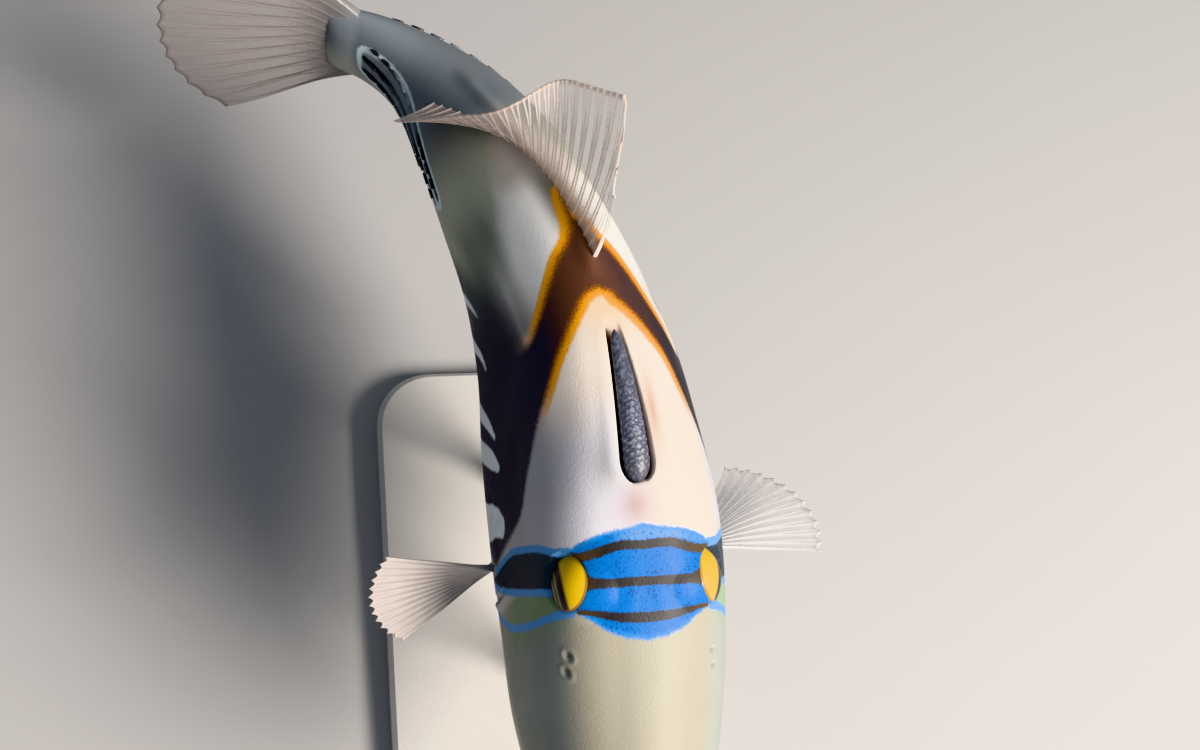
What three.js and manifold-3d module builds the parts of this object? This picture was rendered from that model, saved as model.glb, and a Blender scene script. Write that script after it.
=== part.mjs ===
// Picasso triggerfish (Rhinecanthus aculeatus), life size, on a plain display stand.
// Millimetres, +Z up. The fish faces +X, its left side is +Y, and its tail turns towards its right.
// The origin is the middle of the stand's underside.
//
// The fish is first worked out straight, as (x from the snout tip, y to the left, z above the body axis),
// and place() then carries each point onto the bent axis.
import * as THREE from "three";
import { mergeVertices } from "three/addons/utils/BufferGeometryUtils.js";
import Module from "manifold-3d";

const wasm = await Module();
wasm.setup();

// Whole fish
const bodyLength = 200; // snout tip to the base of the tail fin
const axisHeight = 94; // body axis above the floor
const balanceAt = 90; // this far back from the snout the axis stands over the origin
const gap = 0.3; // clearance between neighbouring pieces

// Bend of the axis, towards the fish's right
const bendStart = 56;
const bodyCurve = 0.66; // radians gained over one body length
const flickStart = 158;
const flickEnd = 228;
const tailFlick = 1.05; // radians more, through the tail stalk and fin

// Outline of the section at each distance back from the snout: its top and bottom, its half width,
// and how far above the axis it is widest
const stations = [
  { x: 3.6, top: 5.4, bottom: -6.2, half: 5.9, widest: -0.6 },
  { x: 8, top: 8.4, bottom: -9.4, half: 8.8, widest: -1.6 },
  { x: 20, top: 15.2, bottom: -16.6, half: 14.8, widest: -5 },
  { x: 40, top: 25.4, bottom: -25.6, half: 19.2, widest: -8 },
  { x: 58, top: 33.8, bottom: -33, half: 20.4, widest: -8 },
  { x: 76, top: 40.8, bottom: -39.4, half: 21, widest: -5 },
  { x: 96, top: 43.8, bottom: -44, half: 19.9, widest: 0 },
  { x: 114, top: 41.6, bottom: -40.6, half: 17.2, widest: 5 },
  { x: 132, top: 36.2, bottom: -33.6, half: 15.2, widest: 7.6 },
  { x: 150, top: 27.6, bottom: -24.4, half: 14.6, widest: 7.4 },
  { x: 168, top: 17.8, bottom: -15.6, half: 12.4, widest: 4.4 },
  { x: 184, top: 12.4, bottom: -11.4, half: 8.4, widest: 1 },
  { x: 200, top: 11.2, bottom: -10.6, half: 4.2, widest: -0.6 },
];
const crownAt = 58; // the crown is broadest between the eyes
const crownReach = 34;
const crownSquareness = 0.6; // added there to the upper section's exponent of 2
const keelSharpness = 0.3; // taken from the lower section's exponent of 2
const sides = 36; // facets round the body

// Where the body is parted
const headEnd = 69.4;
const trunkEnd = 152;
const headRings = 18;
const trunkRings = 17;
const stalkRings = 12;

// Eyes
const eyeAt = { x: 58.3, y: 8.4, z: 25.5 };
const eyeRadius = 6.8;
const eyeTilt = 0.53; // radians that the eye looks above level
const rimRadius = 4.9; // edge of the skin round the eye
const moundSink = 2; // the mound under the rim is centred this far behind the eye's centre

// Mouth
const mouthHalfWidth = 5.6;
const lipAt = 3.2;
const lipSetback = 0.6; // the corners lie this far behind the middle
const lipRise = 3.6; // centre of the roll above and below the mouth line, in the middle
const lipCorner = 1.35; // the same at the corners
const lipRadius = 2.9;
const lipCornerRadius = 1.3;
const tooth = { perRow: 4, width: 1.05, spacing: 1.17, long: 1, thick: 2.2, front: 2.3, part: 0.12 };

// Nostrils: two pits ahead of each eye
const nostrils = [
  { x: 46.6, z: 22.6 },
  { x: 44.2, z: 20.8 },
];
const nostrilRadius = 0.85;

// Gill slit, ahead of the pectoral base
const gill = { top: { x: 64.2, z: 4 }, foot: { x: 67, z: -12 }, depth: 1.8, width: 0.9 };

// Bony scutes behind the gill slit
const scutes = { x: 74, z: 1.5, columns: 3, rows: 2, stepX: 4.6, stepZ: 4.6, radius: 2.3, rise: 0.38 };

// Trigger spine, folded back in its groove
const spine = { from: 72.4, length: 26.5, halfWidth: 2.4, depth: 4.4, proud: 0.9 };
const groove = { from: 71.6, to: 102, halfWidth: 3.1, tipHalfWidth: 1.1, depth: 5 };

// Pelvic spine at the lowest point of the belly
const pelvic = { x: 98, length: 9, radius: 1.8, rake: 0.95 };

// Spine rows on the tail stalk
const stalkSpines = { rows: [7, 3, -1], from: 155, step: 3.9, count: 11, length: 2.1, radius: 0.85 };

// Fins
const membrane = 0.55;
const rayThick = 1.15;
const dorsalFin = {
  from: 113.5,
  to: 173,
  rays: 24,
  height: 37,
  rearHeight: 15,
  sink: 3,
  lean: { front: 0.3, rear: -1.7 },
  sweep: { front: 0.32, rear: -0.22, curl: 0.52 },
};
const analFin = {
  from: 118,
  to: 171,
  rays: 22,
  height: 26,
  rearHeight: 14,
  sink: 3,
  lean: { front: 0.4, rear: -0.1 },
  sweep: { front: 0.9, rear: 0.45, curl: 0.2 },
};
// Where along the base the wave's parts begin and how far they run, as shares of it
const wave = { frontEnd: 0.45, rearFrom: 0.31, rearRun: 0.9, sweepFrom: 0.25, sweepRun: 0.4 };
const firstRays = { short: 0.38, run: 0.1 }; // the first rays are short, and soon reach full height
const tailFin = { from: 200, rays: 12, length: 43, spread: 0.62, rows: 7, fleshy: 3.4 };
const pectoral = { x: 72.6, z: -8.6, baseHalf: 3.6, rays: 13, length: 28, sink: 2 };

// Display stand
const standBase = { length: 112, width: 74, height: 8, corner: 14, chamfer: 1.2 };
const rods = [
  { name: "stand_rod_front", x: 62 },
  { name: "stand_rod_rear", x: 113 },
];
const rodRadius = 2.5;
const rodSides = 16;

// Colours and finishes
const finish = (color, roughness, metalness = 0) =>
  new THREE.MeshStandardMaterial({ color, roughness, metalness });
const paleSkin = finish(0xcfc6b6, 0.45);
const trunkSkin = finish(0x4a3a30, 0.45);
const stalkSkin = finish(0x7b8270, 0.45);
const finSkin = finish(0xd9c9c2, 0.4);
const eyeSkin = finish(0xe8bd10, 0.15);
const lipSkin = finish(0xd9b36a, 0.4);
const spineBone = finish(0x3c3e48, 0.6);
const pelvicBone = finish(0xc4b8a4, 0.6);
const standPaint = finish(0xb9b6b2, 0.5);
const rodSteel = finish(0xb9bcc0, 0.3, 1);

const clamp = (t, low = 0, high = 1) => Math.min(high, Math.max(low, t));
const ease = (t) => {
  const c = clamp(t);
  return c * c * (3 - 2 * c);
};
const mix = (a, b, t) => a + (b - a) * t;

// A smooth curve through the stations' values of one key (cubic, with slopes from the neighbours).
function profile(key) {
  const n = stations.length;
  const slope = stations.map((_, i) => {
    const a = stations[Math.max(0, i - 1)];
    const b = stations[Math.min(n - 1, i + 1)];
    return (b[key] - a[key]) / (b.x - a.x);
  });
  return (x) => {
    let i = 0;
    while (i < n - 2 && x > stations[i + 1].x) i += 1;
    const a = stations[i];
    const b = stations[i + 1];
    const h = b.x - a.x;
    const t = clamp((x - a.x) / h);
    const rise = (b[key] - a[key]) / h;
    const bend0 = 3 * rise - 2 * slope[i] - slope[i + 1];
    const bend1 = slope[i] + slope[i + 1] - 2 * rise;
    return a[key] + h * t * (slope[i] + t * (bend0 + t * bend1));
  };
}
const topOf = profile("top");
const bottomOf = profile("bottom");
const halfOf = profile("half");
const widestOf = profile("widest");

const heading = (x) =>
  (bodyCurve * Math.max(0, x - bendStart)) / bodyLength +
  tailFlick * ease((x - flickStart) / (flickEnd - flickStart));

// The axis seen from above, stepped along in millimetres.
const axisPoints = [{ x: 0, y: 0 }];
const axisReach = 300;
for (let x = 1; x <= axisReach; x += 1) {
  const turn = heading(x - 0.5);
  const last = axisPoints[x - 1];
  axisPoints.push({ x: last.x - Math.cos(turn), y: last.y - Math.sin(turn) });
}
function axisAt(x) {
  const i = clamp(Math.floor(x), 0, axisReach - 1);
  const t = x - i;
  const a = axisPoints[i];
  const b = axisPoints[i + 1];
  return { x: mix(a.x, b.x, t), y: mix(a.y, b.y, t) };
}
const balance = axisAt(balanceAt);

// Straight coordinates to the bent fish over the stand.
function place(x, y, z) {
  const p = axisAt(x);
  const turn = heading(x);
  return new THREE.Vector3(
    p.x - balance.x - Math.sin(turn) * y,
    p.y - balance.y + Math.cos(turn) * y,
    axisHeight + z,
  );
}

// Point of the skin at angle a round the section: 0 is the left side, a quarter turn is the back.
function skin(x, a, grow = 0) {
  const fade = ease((bodyLength - x) / 60);
  const middle = widestOf(x);
  const crown = clamp(1 - Math.abs(x - crownAt) / crownReach);
  const upper = 2 + crownSquareness * ease(crown);
  const lower = 2 - keelSharpness * ease((x - 20) / 60) * fade;
  const c = Math.cos(a);
  const s = Math.sin(a);
  const power = 2 / (s >= 0 ? upper : lower);
  const reach = s >= 0 ? topOf(x) + grow - middle : middle - bottomOf(x) + grow;
  return {
    y: (halfOf(x) + grow) * Math.sign(c) * Math.abs(c) ** power,
    z: middle + reach * Math.sign(s) * Math.abs(s) ** power,
  };
}

// Angle round the section where the left side of the skin has height z.
function angleAt(x, z) {
  let low = -Math.PI / 2;
  let high = Math.PI / 2;
  for (let i = 0; i < 30; i += 1) {
    const a = (low + high) / 2;
    if (skin(x, a).z < z) low = a;
    else high = a;
  }
  return (low + high) / 2;
}

// Skin point of one flank (side is 1 on the left, -1 on the right), pushed out by lift.
function flankPoint(x, z, side, lift = 0) {
  const p = skin(x, angleAt(x, z), lift);
  return place(x, side * p.y, p.z);
}
function flankNormal(x, z, side) {
  const step = 0.5;
  const along = flankPoint(x + step, z, side).sub(flankPoint(x - step, z, side));
  const up = flankPoint(x, z + step, side).sub(flankPoint(x, z - step, side));
  return up.cross(along).multiplyScalar(side).normalize();
}

// A closed mesh as a solid for joining and cutting.
function solid(geometry) {
  const bare = new THREE.BufferGeometry();
  bare.setAttribute("position", geometry.getAttribute("position"));
  if (geometry.index) bare.setIndex(geometry.index);
  const merged = mergeVertices(bare, 1e-4);
  const made = new wasm.Manifold(
    new wasm.Mesh({
      numProp: 3,
      vertProperties: new Float32Array(merged.getAttribute("position").array),
      triVerts: new Uint32Array(merged.index.array),
    }),
  );
  if (made.volume() >= 0) return made;
  const index = merged.index.array;
  for (let i = 0; i < index.length; i += 3) [index[i], index[i + 1]] = [index[i + 1], index[i]];
  return solid(merged);
}
const unite = (parts) => parts.reduce((all, part) => all.add(part));

// A node keeps its largest closed surface.
function largest(made) {
  return made.decompose().sort((a, b) => b.volume() - a.volume())[0];
}

function meshOf(name, made, material) {
  const m = largest(made).getMesh();
  const geometry = new THREE.BufferGeometry();
  const positions = new Float32Array(m.numVert * 3);
  for (let i = 0; i < m.numVert; i += 1) {
    positions.set(m.vertProperties.subarray(i * m.numProp, i * m.numProp + 3), i * 3);
  }
  geometry.setAttribute("position", new THREE.BufferAttribute(positions, 3));
  geometry.setIndex(new THREE.BufferAttribute(new Uint32Array(m.triVerts), 1));
  geometry.computeVertexNormals();
  const mesh = new THREE.Mesh(geometry, material);
  mesh.name = name;
  return mesh;
}

// Closed solid from rings of points, each ring in order, with flat fans over the two ends.
function loft(rings) {
  const n = rings[0].length;
  const points = rings.flat();
  const index = [];
  for (let r = 0; r < rings.length - 1; r += 1) {
    for (let k = 0; k < n; k += 1) {
      const a = r * n + k;
      const b = r * n + ((k + 1) % n);
      index.push(a, b, b + n, a, b + n, a + n);
    }
  }
  [0, rings.length - 1].forEach((r) => {
    const centre = new THREE.Vector3();
    rings[r].forEach((p) => centre.add(p));
    points.push(centre.divideScalar(n));
    const hub = points.length - 1;
    for (let k = 0; k < n; k += 1) {
      const edge = [r * n + k, r * n + ((k + 1) % n)];
      if (r === 0) edge.reverse();
      index.push(edge[0], edge[1], hub);
    }
  });
  const geometry = new THREE.BufferGeometry().setFromPoints(points);
  geometry.setIndex(index);
  return solid(geometry);
}

// Closed plate from a grid of middle points and half thicknesses, split alike on both faces.
function plate(grid, half) {
  const columns = grid.length;
  const rows = grid[0].length;
  const normalAt = (i, j) => {
    const along = new THREE.Vector3().subVectors(
      grid[Math.min(columns - 1, i + 1)][j],
      grid[Math.max(0, i - 1)][j],
    );
    const up = new THREE.Vector3().subVectors(
      grid[i][Math.min(rows - 1, j + 1)],
      grid[i][Math.max(0, j - 1)],
    );
    return along.cross(up).normalize();
  };
  const points = [];
  [1, -1].forEach((face) => {
    grid.forEach((column, i) => {
      column.forEach((p, j) => {
        points.push(p.clone().addScaledVector(normalAt(i, j), face * half(i, j)));
      });
    });
  });
  const count = columns * rows;
  const at = (i, j) => i * rows + j;
  const index = [];
  for (let i = 0; i < columns - 1; i += 1) {
    for (let j = 0; j < rows - 1; j += 1) {
      const [a, b, c, d] = [at(i, j), at(i + 1, j), at(i + 1, j + 1), at(i, j + 1)];
      index.push(a, b, c, a, c, d);
      index.push(count + a, count + c, count + b, count + a, count + d, count + c);
    }
  }
  const rim = [];
  for (let i = 0; i < columns - 1; i += 1) rim.push([at(i, 0), at(i + 1, 0)]);
  for (let j = 0; j < rows - 1; j += 1) rim.push([at(columns - 1, j), at(columns - 1, j + 1)]);
  for (let i = columns - 1; i > 0; i -= 1) rim.push([at(i, rows - 1), at(i - 1, rows - 1)]);
  for (let j = rows - 1; j > 0; j -= 1) rim.push([at(0, j), at(0, j - 1)]);
  rim.forEach(([a, b]) => index.push(b, a, count + a, b, count + a, count + b));
  const geometry = new THREE.BufferGeometry().setFromPoints(points);
  geometry.setIndex(index);
  return solid(geometry);
}

// Places of the body rings between two places on the axis.
function ringStations(from, to, count) {
  return Array.from({ length: count }, (_, i) => mix(from, to, i / (count - 1)));
}
const partings = {
  head: ringStations(stations[0].x, headEnd - gap / 2, headRings),
  trunk: ringStations(headEnd + gap / 2, trunkEnd - gap / 2, trunkRings),
  stalk: ringStations(trunkEnd + gap / 2, bodyLength, stalkRings),
};
function bodyLoft(places, grow = 0) {
  return loft(
    places.map((x) =>
      Array.from({ length: sides }, (_, k) => {
        const p = skin(x, (2 * Math.PI * k) / sides, grow);
        return place(x, p.y, p.z);
      }),
    ),
  );
}
const swollenBody = bodyLoft([...partings.head, ...partings.trunk, ...partings.stalk], gap);

// A ball whose poles lie along look.
function ball(centre, radius, look, wide = 20, high = 14) {
  const pole = new THREE.Vector3(0, 1, 0);
  const g = new THREE.SphereGeometry(radius, wide, high);
  g.applyQuaternion(new THREE.Quaternion().setFromUnitVectors(pole, look));
  return solid(g.translate(centre.x, centre.y, centre.z));
}
const sideName = (side) => (side > 0 ? "left" : "right");

// Eyes
const eyeCentre = (side) => place(eyeAt.x, side * eyeAt.y, eyeAt.z);
const eyeLook = (side) => {
  const turn = heading(eyeAt.x);
  const out = side * Math.cos(eyeTilt);
  return new THREE.Vector3(-Math.sin(turn) * out, Math.cos(turn) * out, Math.sin(eyeTilt));
};
function eyeball(side) {
  return meshOf(`eye_${sideName(side)}`, ball(eyeCentre(side), eyeRadius, eyeLook(side)), eyeSkin);
}
function eyeMound(side) {
  const rimOut = Math.sqrt(eyeRadius ** 2 - rimRadius ** 2);
  const radius = Math.hypot(rimRadius, rimOut + moundSink);
  const look = eyeLook(side);
  return ball(eyeCentre(side).addScaledVector(look, -moundSink), radius, look);
}

// Teeth: a row of chisel-shaped blocks standing out of the front of the jaws.
function teeth(upper) {
  const side = upper ? 1 : -1;
  return Array.from({ length: tooth.perRow }, (_, i) => {
    const y = (i - (tooth.perRow - 1) / 2) * tooth.spacing;
    const block = new THREE.BoxGeometry(tooth.thick, tooth.width, tooth.long);
    const p = place(tooth.front + tooth.thick / 2, y, side * (tooth.long / 2 + tooth.part));
    return solid(block.translate(p.x, p.y, p.z));
  });
}

// Lips: a tapering roll over each jaw, from corner to corner.
function lip(upper) {
  const side = upper ? 1 : -1;
  const steps = 14;
  const round = 10;
  const rings = [];
  for (let i = 0; i <= steps; i += 1) {
    const t = (2 * i) / steps - 1;
    const bow = 1 - t * t;
    const y = mouthHalfWidth * t;
    const z = side * mix(lipCorner, lipRise, bow ** 0.55);
    const x = lipAt + lipSetback * t * t;
    const r = mix(lipCornerRadius, lipRadius, bow ** 0.55);
    const tilt = Math.atan2(-2 * t * (lipRise - lipCorner) * side, mouthHalfWidth);
    rings.push(
      Array.from({ length: round }, (_, k) => {
        const a = (2 * Math.PI * k) / round;
        const out = r * Math.cos(a);
        return place(x - r * Math.sin(a), y - Math.sin(tilt) * out, z + Math.cos(tilt) * out);
      }),
    );
  }
  const name = upper ? "upper_lip" : "lower_lip";
  return meshOf(name, loft(rings).subtract(headTool).subtract(unite(teethTool)), lipSkin);
}
const headTool = bodyLoft([stations[0].x - gap, ...partings.head], gap);
const teethTool = [true, false].flatMap((upper) =>
  teeth(upper).map((t) => {
    const box = t.boundingBox();
    const size = box.max.map((v, i) => v - box.min[i] + 2 * gap);
    const g = new THREE.BoxGeometry(...size);
    return solid(g.translate(...box.max.map((v, i) => (v + box.min[i]) / 2)));
  }),
);

// Gill slit: a thin curved blade that is taken out of the head.
function gillBlade(side) {
  const steps = 6;
  const rings = [];
  for (let i = 0; i <= steps; i += 1) {
    const t = i / steps;
    const x = mix(gill.top.x, gill.foot.x, t) - 0.8 * Math.sin(Math.PI * t);
    const z = mix(gill.top.z, gill.foot.z, t);
    const wide = gill.width * Math.sin(Math.PI * mix(0.12, 0.88, t));
    rings.push(
      [
        [-wide / 2, 0.6],
        [wide / 2, 0.6],
        [wide / 2, -gill.depth],
        [-wide / 2, -gill.depth],
      ].map(([dx, lift]) => flankPoint(x + dx, z, side, lift)),
    );
  }
  return loft(rings);
}

function headMesh() {
  let made = bodyLoft(partings.head);
  [1, -1].forEach((side) => {
    made = made.add(eyeMound(side));
    nostrils.forEach((n) => {
      const at = flankPoint(n.x, n.z, side);
      made = made.subtract(ball(at, nostrilRadius, flankNormal(n.x, n.z, side), 8, 6));
    });
    made = made.subtract(gillBlade(side));
  });
  made = made.add(unite([...teeth(true), ...teeth(false)]));
  [1, -1].forEach((side) => {
    made = made.subtract(ball(eyeCentre(side), eyeRadius + gap, eyeLook(side)));
  });
  return meshOf("head", made, paleSkin);
}

// Trigger spine: a stout rough blade lying in the groove along the back.
function spineRings() {
  const steps = 10;
  const round = 10;
  const rings = [];
  for (let i = 0; i <= steps; i += 1) {
    const t = i / steps;
    const x = spine.from + spine.length * t;
    const slim = Math.sqrt(1 - 0.93 * t ** 1.6) * (0.82 + 0.18 * ease(t / 0.25));
    const knob = 1 + 0.06 * Math.cos(Math.PI * i);
    const half = spine.halfWidth * slim * knob;
    const deep = (spine.depth / 2) * mix(1, 0.35, t);
    const rise = topOf(x) + spine.proud * mix(0.6, 1, t) - deep;
    rings.push(
      Array.from({ length: round }, (_, k) => {
        const a = (2 * Math.PI * k) / round;
        return place(x, half * Math.cos(a), rise + deep * Math.sin(a));
      }),
    );
  }
  return rings;
}
function grooveCut() {
  const steps = 12;
  const rings = [];
  for (let i = 0; i <= steps; i += 1) {
    const t = i / steps;
    const x = mix(groove.from, groove.to, t);
    const wide = mix(groove.halfWidth, groove.tipHalfWidth, t ** 1.4);
    const deep = groove.depth * Math.sqrt(1 - 0.85 * t);
    const top = topOf(x) + 3;
    rings.push([
      place(x, wide * 1.15, top),
      place(x, -wide * 1.15, top),
      place(x, -wide, topOf(x) - deep * 0.6),
      place(x, -wide * 0.45, topOf(x) - deep),
      place(x, wide * 0.45, topOf(x) - deep),
      place(x, wide, topOf(x) - deep * 0.6),
    ]);
  }
  return loft(rings);
}

// Scutes: low domes set in the skin behind the gill slit.
function scute(x, z, side, size) {
  const dome = new THREE.SphereGeometry(1, 8, 6).scale(size, size, scutes.rise * 2);
  const normal = flankNormal(x, z, side);
  dome.applyQuaternion(new THREE.Quaternion().setFromUnitVectors(new THREE.Vector3(0, 0, 1), normal));
  const at = flankPoint(x, z, side).addScaledVector(normal, -scutes.rise);
  return solid(dome.translate(at.x, at.y, at.z));
}
function scutePatch(side) {
  const made = [];
  for (let i = 0; i < scutes.columns; i += 1) {
    for (let j = 0; j < scutes.rows; j += 1) {
      const x = scutes.x + i * scutes.stepX + (j % 2) * scutes.stepX * 0.5;
      const size = scutes.radius * (1 - 0.08 * i);
      made.push(scute(x, scutes.z + j * scutes.stepZ, side, size));
    }
  }
  return made;
}

function trunkMesh() {
  const made = unite([bodyLoft(partings.trunk), ...scutePatch(1), ...scutePatch(-1)]);
  return meshOf("trunk", made.subtract(grooveCut()), trunkSkin);
}
function triggerSpineMesh() {
  return meshOf("trigger_spine", loft(spineRings()), spineBone);
}

// Pelvic spine: a blunt knob that points down and back from the keel.
function pelvicMesh() {
  const steps = 6;
  const round = 8;
  const rings = [];
  for (let i = 0; i <= steps; i += 1) {
    const t = i / steps;
    const reach = pelvic.length * t - 3;
    const x = pelvic.x + Math.sin(pelvic.rake) * reach;
    const z = bottomOf(pelvic.x) - Math.cos(pelvic.rake) * reach;
    const r = pelvic.radius * Math.sqrt(1 - 0.86 * t * t) * (1 + 0.08 * Math.cos(Math.PI * i));
    rings.push(
      Array.from({ length: round }, (_, k) => {
        const a = (2 * Math.PI * k) / round;
        const up = r * Math.sin(a);
        return place(
          x + Math.cos(pelvic.rake) * up,
          r * 0.75 * Math.cos(a),
          z + Math.sin(pelvic.rake) * up,
        );
      }),
    );
  }
  return meshOf("pelvic_spine", loft(rings).subtract(swollenBody), pelvicBone);
}

// Spines of the tail stalk: short thorns that lean towards the head, in rows.
function thorn(x, z, side, size) {
  const normal = flankNormal(x, z, side);
  const forward = flankPoint(x - 1, z, side).sub(flankPoint(x, z, side)).normalize();
  const length = stalkSpines.length * size;
  const cone = new THREE.ConeGeometry(stalkSpines.radius * size, length + 0.8, 5);
  const lean = normal.clone().addScaledVector(forward, 0.75).normalize();
  cone.translate(0, (length + 0.8) / 2 - 0.8, 0);
  cone.applyQuaternion(new THREE.Quaternion().setFromUnitVectors(new THREE.Vector3(0, 1, 0), lean));
  const at = flankPoint(x, z, side);
  return solid(cone.translate(at.x, at.y, at.z));
}
function stalkMesh() {
  const thorns = [];
  [1, -1].forEach((side) => {
    stalkSpines.rows.forEach((z, row) => {
      const skip = row === 2 ? 3 : 0;
      for (let i = skip; i < stalkSpines.count; i += 1) {
        const size = 0.75 + 0.35 * Math.sin((Math.PI * (i + 1)) / (stalkSpines.count + 1));
        thorns.push(thorn(stalkSpines.from + i * stalkSpines.step, z, side, size));
      }
    });
  });
  return meshOf("tail_stalk", unite([bodyLoft(partings.stalk), ...thorns]), stalkSkin);
}

// Ridge of a ray: thick on the ray's line and thin half way between two rays.
const rayHalf = (column, v) =>
  (column % 2 === 0 ? mix(rayThick, membrane * 1.1, v) : mix(membrane * 1.2, membrane * 0.9, v)) / 2;

// Lean of the two long fins at share u of their base, positive to the left: the wave that the fish
// swims with, its front rays a little over to the left and its rear ones folded to the right.
function waveLean(fin, u) {
  const front = fin.lean.front * (1 - ease(u / wave.frontEnd));
  return front + fin.lean.rear * ease((u - wave.rearFrom) / wave.rearRun);
}

// How far the rays slope back at share u of the base and v of their height, curling back at the tips.
function waveSweep(fin, u, v) {
  const { front, rear, curl } = fin.sweep;
  return mix(front, rear, ease((u - wave.sweepFrom) / wave.sweepRun)) + curl * (v - 0.4);
}
function longFinGrid(fin, edgeOf, up) {
  const columns = fin.rays * 2 - 1;
  const rows = 7;
  const grid = [];
  for (let i = 0; i < columns; i += 1) {
    const u = i / (columns - 1);
    const x0 = mix(fin.from, fin.to, u);
    const lean = waveLean(fin, u);
    const first = mix(firstRays.short, 1, ease(u / firstRays.run));
    const tall = mix(fin.height, fin.rearHeight, Math.sqrt(u)) * first * (i % 2 ? 0.985 : 1);
    const column = [];
    let [x, y, z] = [x0, 0, edgeOf(x0) - up * fin.sink];
    const total = tall + fin.sink;
    for (let j = 0; j < rows; j += 1) {
      column.push(place(x, y, z));
      const sweep = waveSweep(fin, u, j / (rows - 1));
      const step = total / (rows - 1);
      x += step * Math.sin(sweep);
      y += step * Math.cos(sweep) * Math.sin(lean);
      z += up * step * Math.cos(sweep) * Math.cos(lean);
    }
    grid.push(column);
  }
  return grid;
}
function longFinMesh(name, fin, edgeOf, up) {
  const grid = longFinGrid(fin, edgeOf, up);
  const last = grid[0].length - 1;
  const made = plate(grid, (i, j) => rayHalf(i, j / last));
  return meshOf(name, made.subtract(swollenBody), finSkin);
}

// Tail fin: rays that fan out of the end of the stalk and fork towards a rounded edge.
function tailFinMesh() {
  const perRay = 4;
  const columns = tailFin.rays * perRay - 1;
  const grid = [];
  for (let i = 0; i < columns; i += 1) {
    const w = (2 * i) / (columns - 1) - 1;
    const fan = tailFin.spread * w * (0.8 + 0.2 * w * w);
    const notch = i % 2 ? 0.985 : 1;
    const long = tailFin.length * (1 - 0.12 * w * w) * notch;
    const root = w > 0 ? topOf(tailFin.from) : -bottomOf(tailFin.from);
    const column = [];
    for (let j = 0; j < tailFin.rows; j += 1) {
      const v = j / (tailFin.rows - 1);
      const curl = -2.2 * Math.sin(Math.PI * v) + 1.6 * w * w * v;
      column.push(
        place(
          tailFin.from + gap + long * v * Math.cos(fan),
          curl * v,
          w * root * 0.98 + long * v * Math.sin(fan),
        ),
      );
    }
    grid.push(column);
  }
  const half = (i, j) => {
    const v = j / (tailFin.rows - 1);
    const forked = i % 4 === 0 ? v : 1 - v;
    const ridge = i % 2 === 0 ? mix(membrane, rayThick, 0.35 + 0.65 * (i % 4 ? forked : 1)) : membrane;
    return (mix(ridge, membrane, 0.6 * v) + tailFin.fleshy * (1 - ease(v / 0.42))) / 2;
  };
  return meshOf("tail_fin", plate(grid, half), finSkin);
}

// Pectoral fins. Each ray leaves the short base at its own angle in the fin's plane, and the plane is
// set by where its first and last rays point: back, out to the side, up. The first ray's root is the
// upper one where rootUp is 1, and the lower one where it is -1.
const pectoralPose = {
  left: { first: [0.71, 0.58, -0.39], last: [-0.15, 0.99, 0.06], rootUp: -1, cup: 1.6 },
  right: { first: [0.08, 0.89, 0.43], last: [-0.63, 0.77, 0.16], rootUp: 1, cup: -1.8 },
};
function pectoralMesh(side) {
  const pose = pectoralPose[sideName(side)];
  const columns = pectoral.rays * 2 - 1;
  const rows = 7;
  const first = new THREE.Vector3(...pose.first).normalize();
  const last = new THREE.Vector3(...pose.last).normalize();
  const span = first.angleTo(last);
  const cross = new THREE.Vector3().crossVectors(first, last).normalize();
  const base = skin(pectoral.x, angleAt(pectoral.x, pectoral.z));
  const grid = [];
  for (let i = 0; i < columns; i += 1) {
    const u = i / (columns - 1);
    const way = first.clone().applyAxisAngle(cross, span * u);
    const long = pectoral.length * (0.8 + 0.2 * Math.sin(Math.PI * (0.1 + 0.75 * u))) * (i % 2 ? 0.98 : 1);
    const column = [];
    for (let j = 0; j < rows; j += 1) {
      const v = j / (rows - 1);
      const reach = -pectoral.sink + (long + pectoral.sink) * v;
      const bow = pose.cup * Math.sin(Math.PI * v) * Math.sin(Math.PI * u);
      const root = pose.rootUp * pectoral.baseHalf * (1 - 2 * u);
      column.push(
        place(
          pectoral.x - 0.3 * root + way.x * reach + cross.x * bow,
          side * (base.y + way.y * reach + cross.y * bow),
          pectoral.z + root + way.z * reach + cross.z * bow,
        ),
      );
    }
    grid.push(column);
  }
  const half = (i, j) => rayHalf(i, j / (rows - 1)) + 0.5 * (1 - ease(j / 2.2));
  return meshOf(`pectoral_fin_${sideName(side)}`, plate(grid, half).subtract(swollenBody), finSkin);
}

// Stand: a flat base with rounded corners, and two rods cut to the belly.
function standBaseMesh() {
  const [l, w, r] = [standBase.length / 2, standBase.width / 2, standBase.corner];
  const outline = new THREE.Shape();
  outline.absarc(l - r, w - r, r, 0, Math.PI / 2);
  outline.absarc(r - l, w - r, r, Math.PI / 2, Math.PI);
  outline.absarc(r - l, r - w, r, Math.PI, 1.5 * Math.PI);
  outline.absarc(l - r, r - w, r, 1.5 * Math.PI, 2 * Math.PI);
  outline.closePath();
  const flat = outline.getPoints(5).slice(0, -1);
  const ring = (inset, z) =>
    flat.map((p) => new THREE.Vector3(p.x * (1 - inset / l), p.y * (1 - inset / w), z));
  const made = loft([
    ring(0, 0),
    ring(0, standBase.height - standBase.chamfer),
    ring(standBase.chamfer, standBase.height),
  ]);
  return meshOf("stand_base", made, standPaint);
}
function rodMesh(rod) {
  const foot = place(rod.x, 0, 0);
  const low = standBase.height + gap;
  const high = axisHeight + bottomOf(rod.x) + 6;
  const post = new THREE.CylinderGeometry(rodRadius, rodRadius, high - low, rodSides);
  post.rotateX(Math.PI / 2).translate(foot.x, foot.y, (low + high) / 2);
  return meshOf(rod.name, solid(post).subtract(swollenBody), rodSteel);
}

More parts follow.
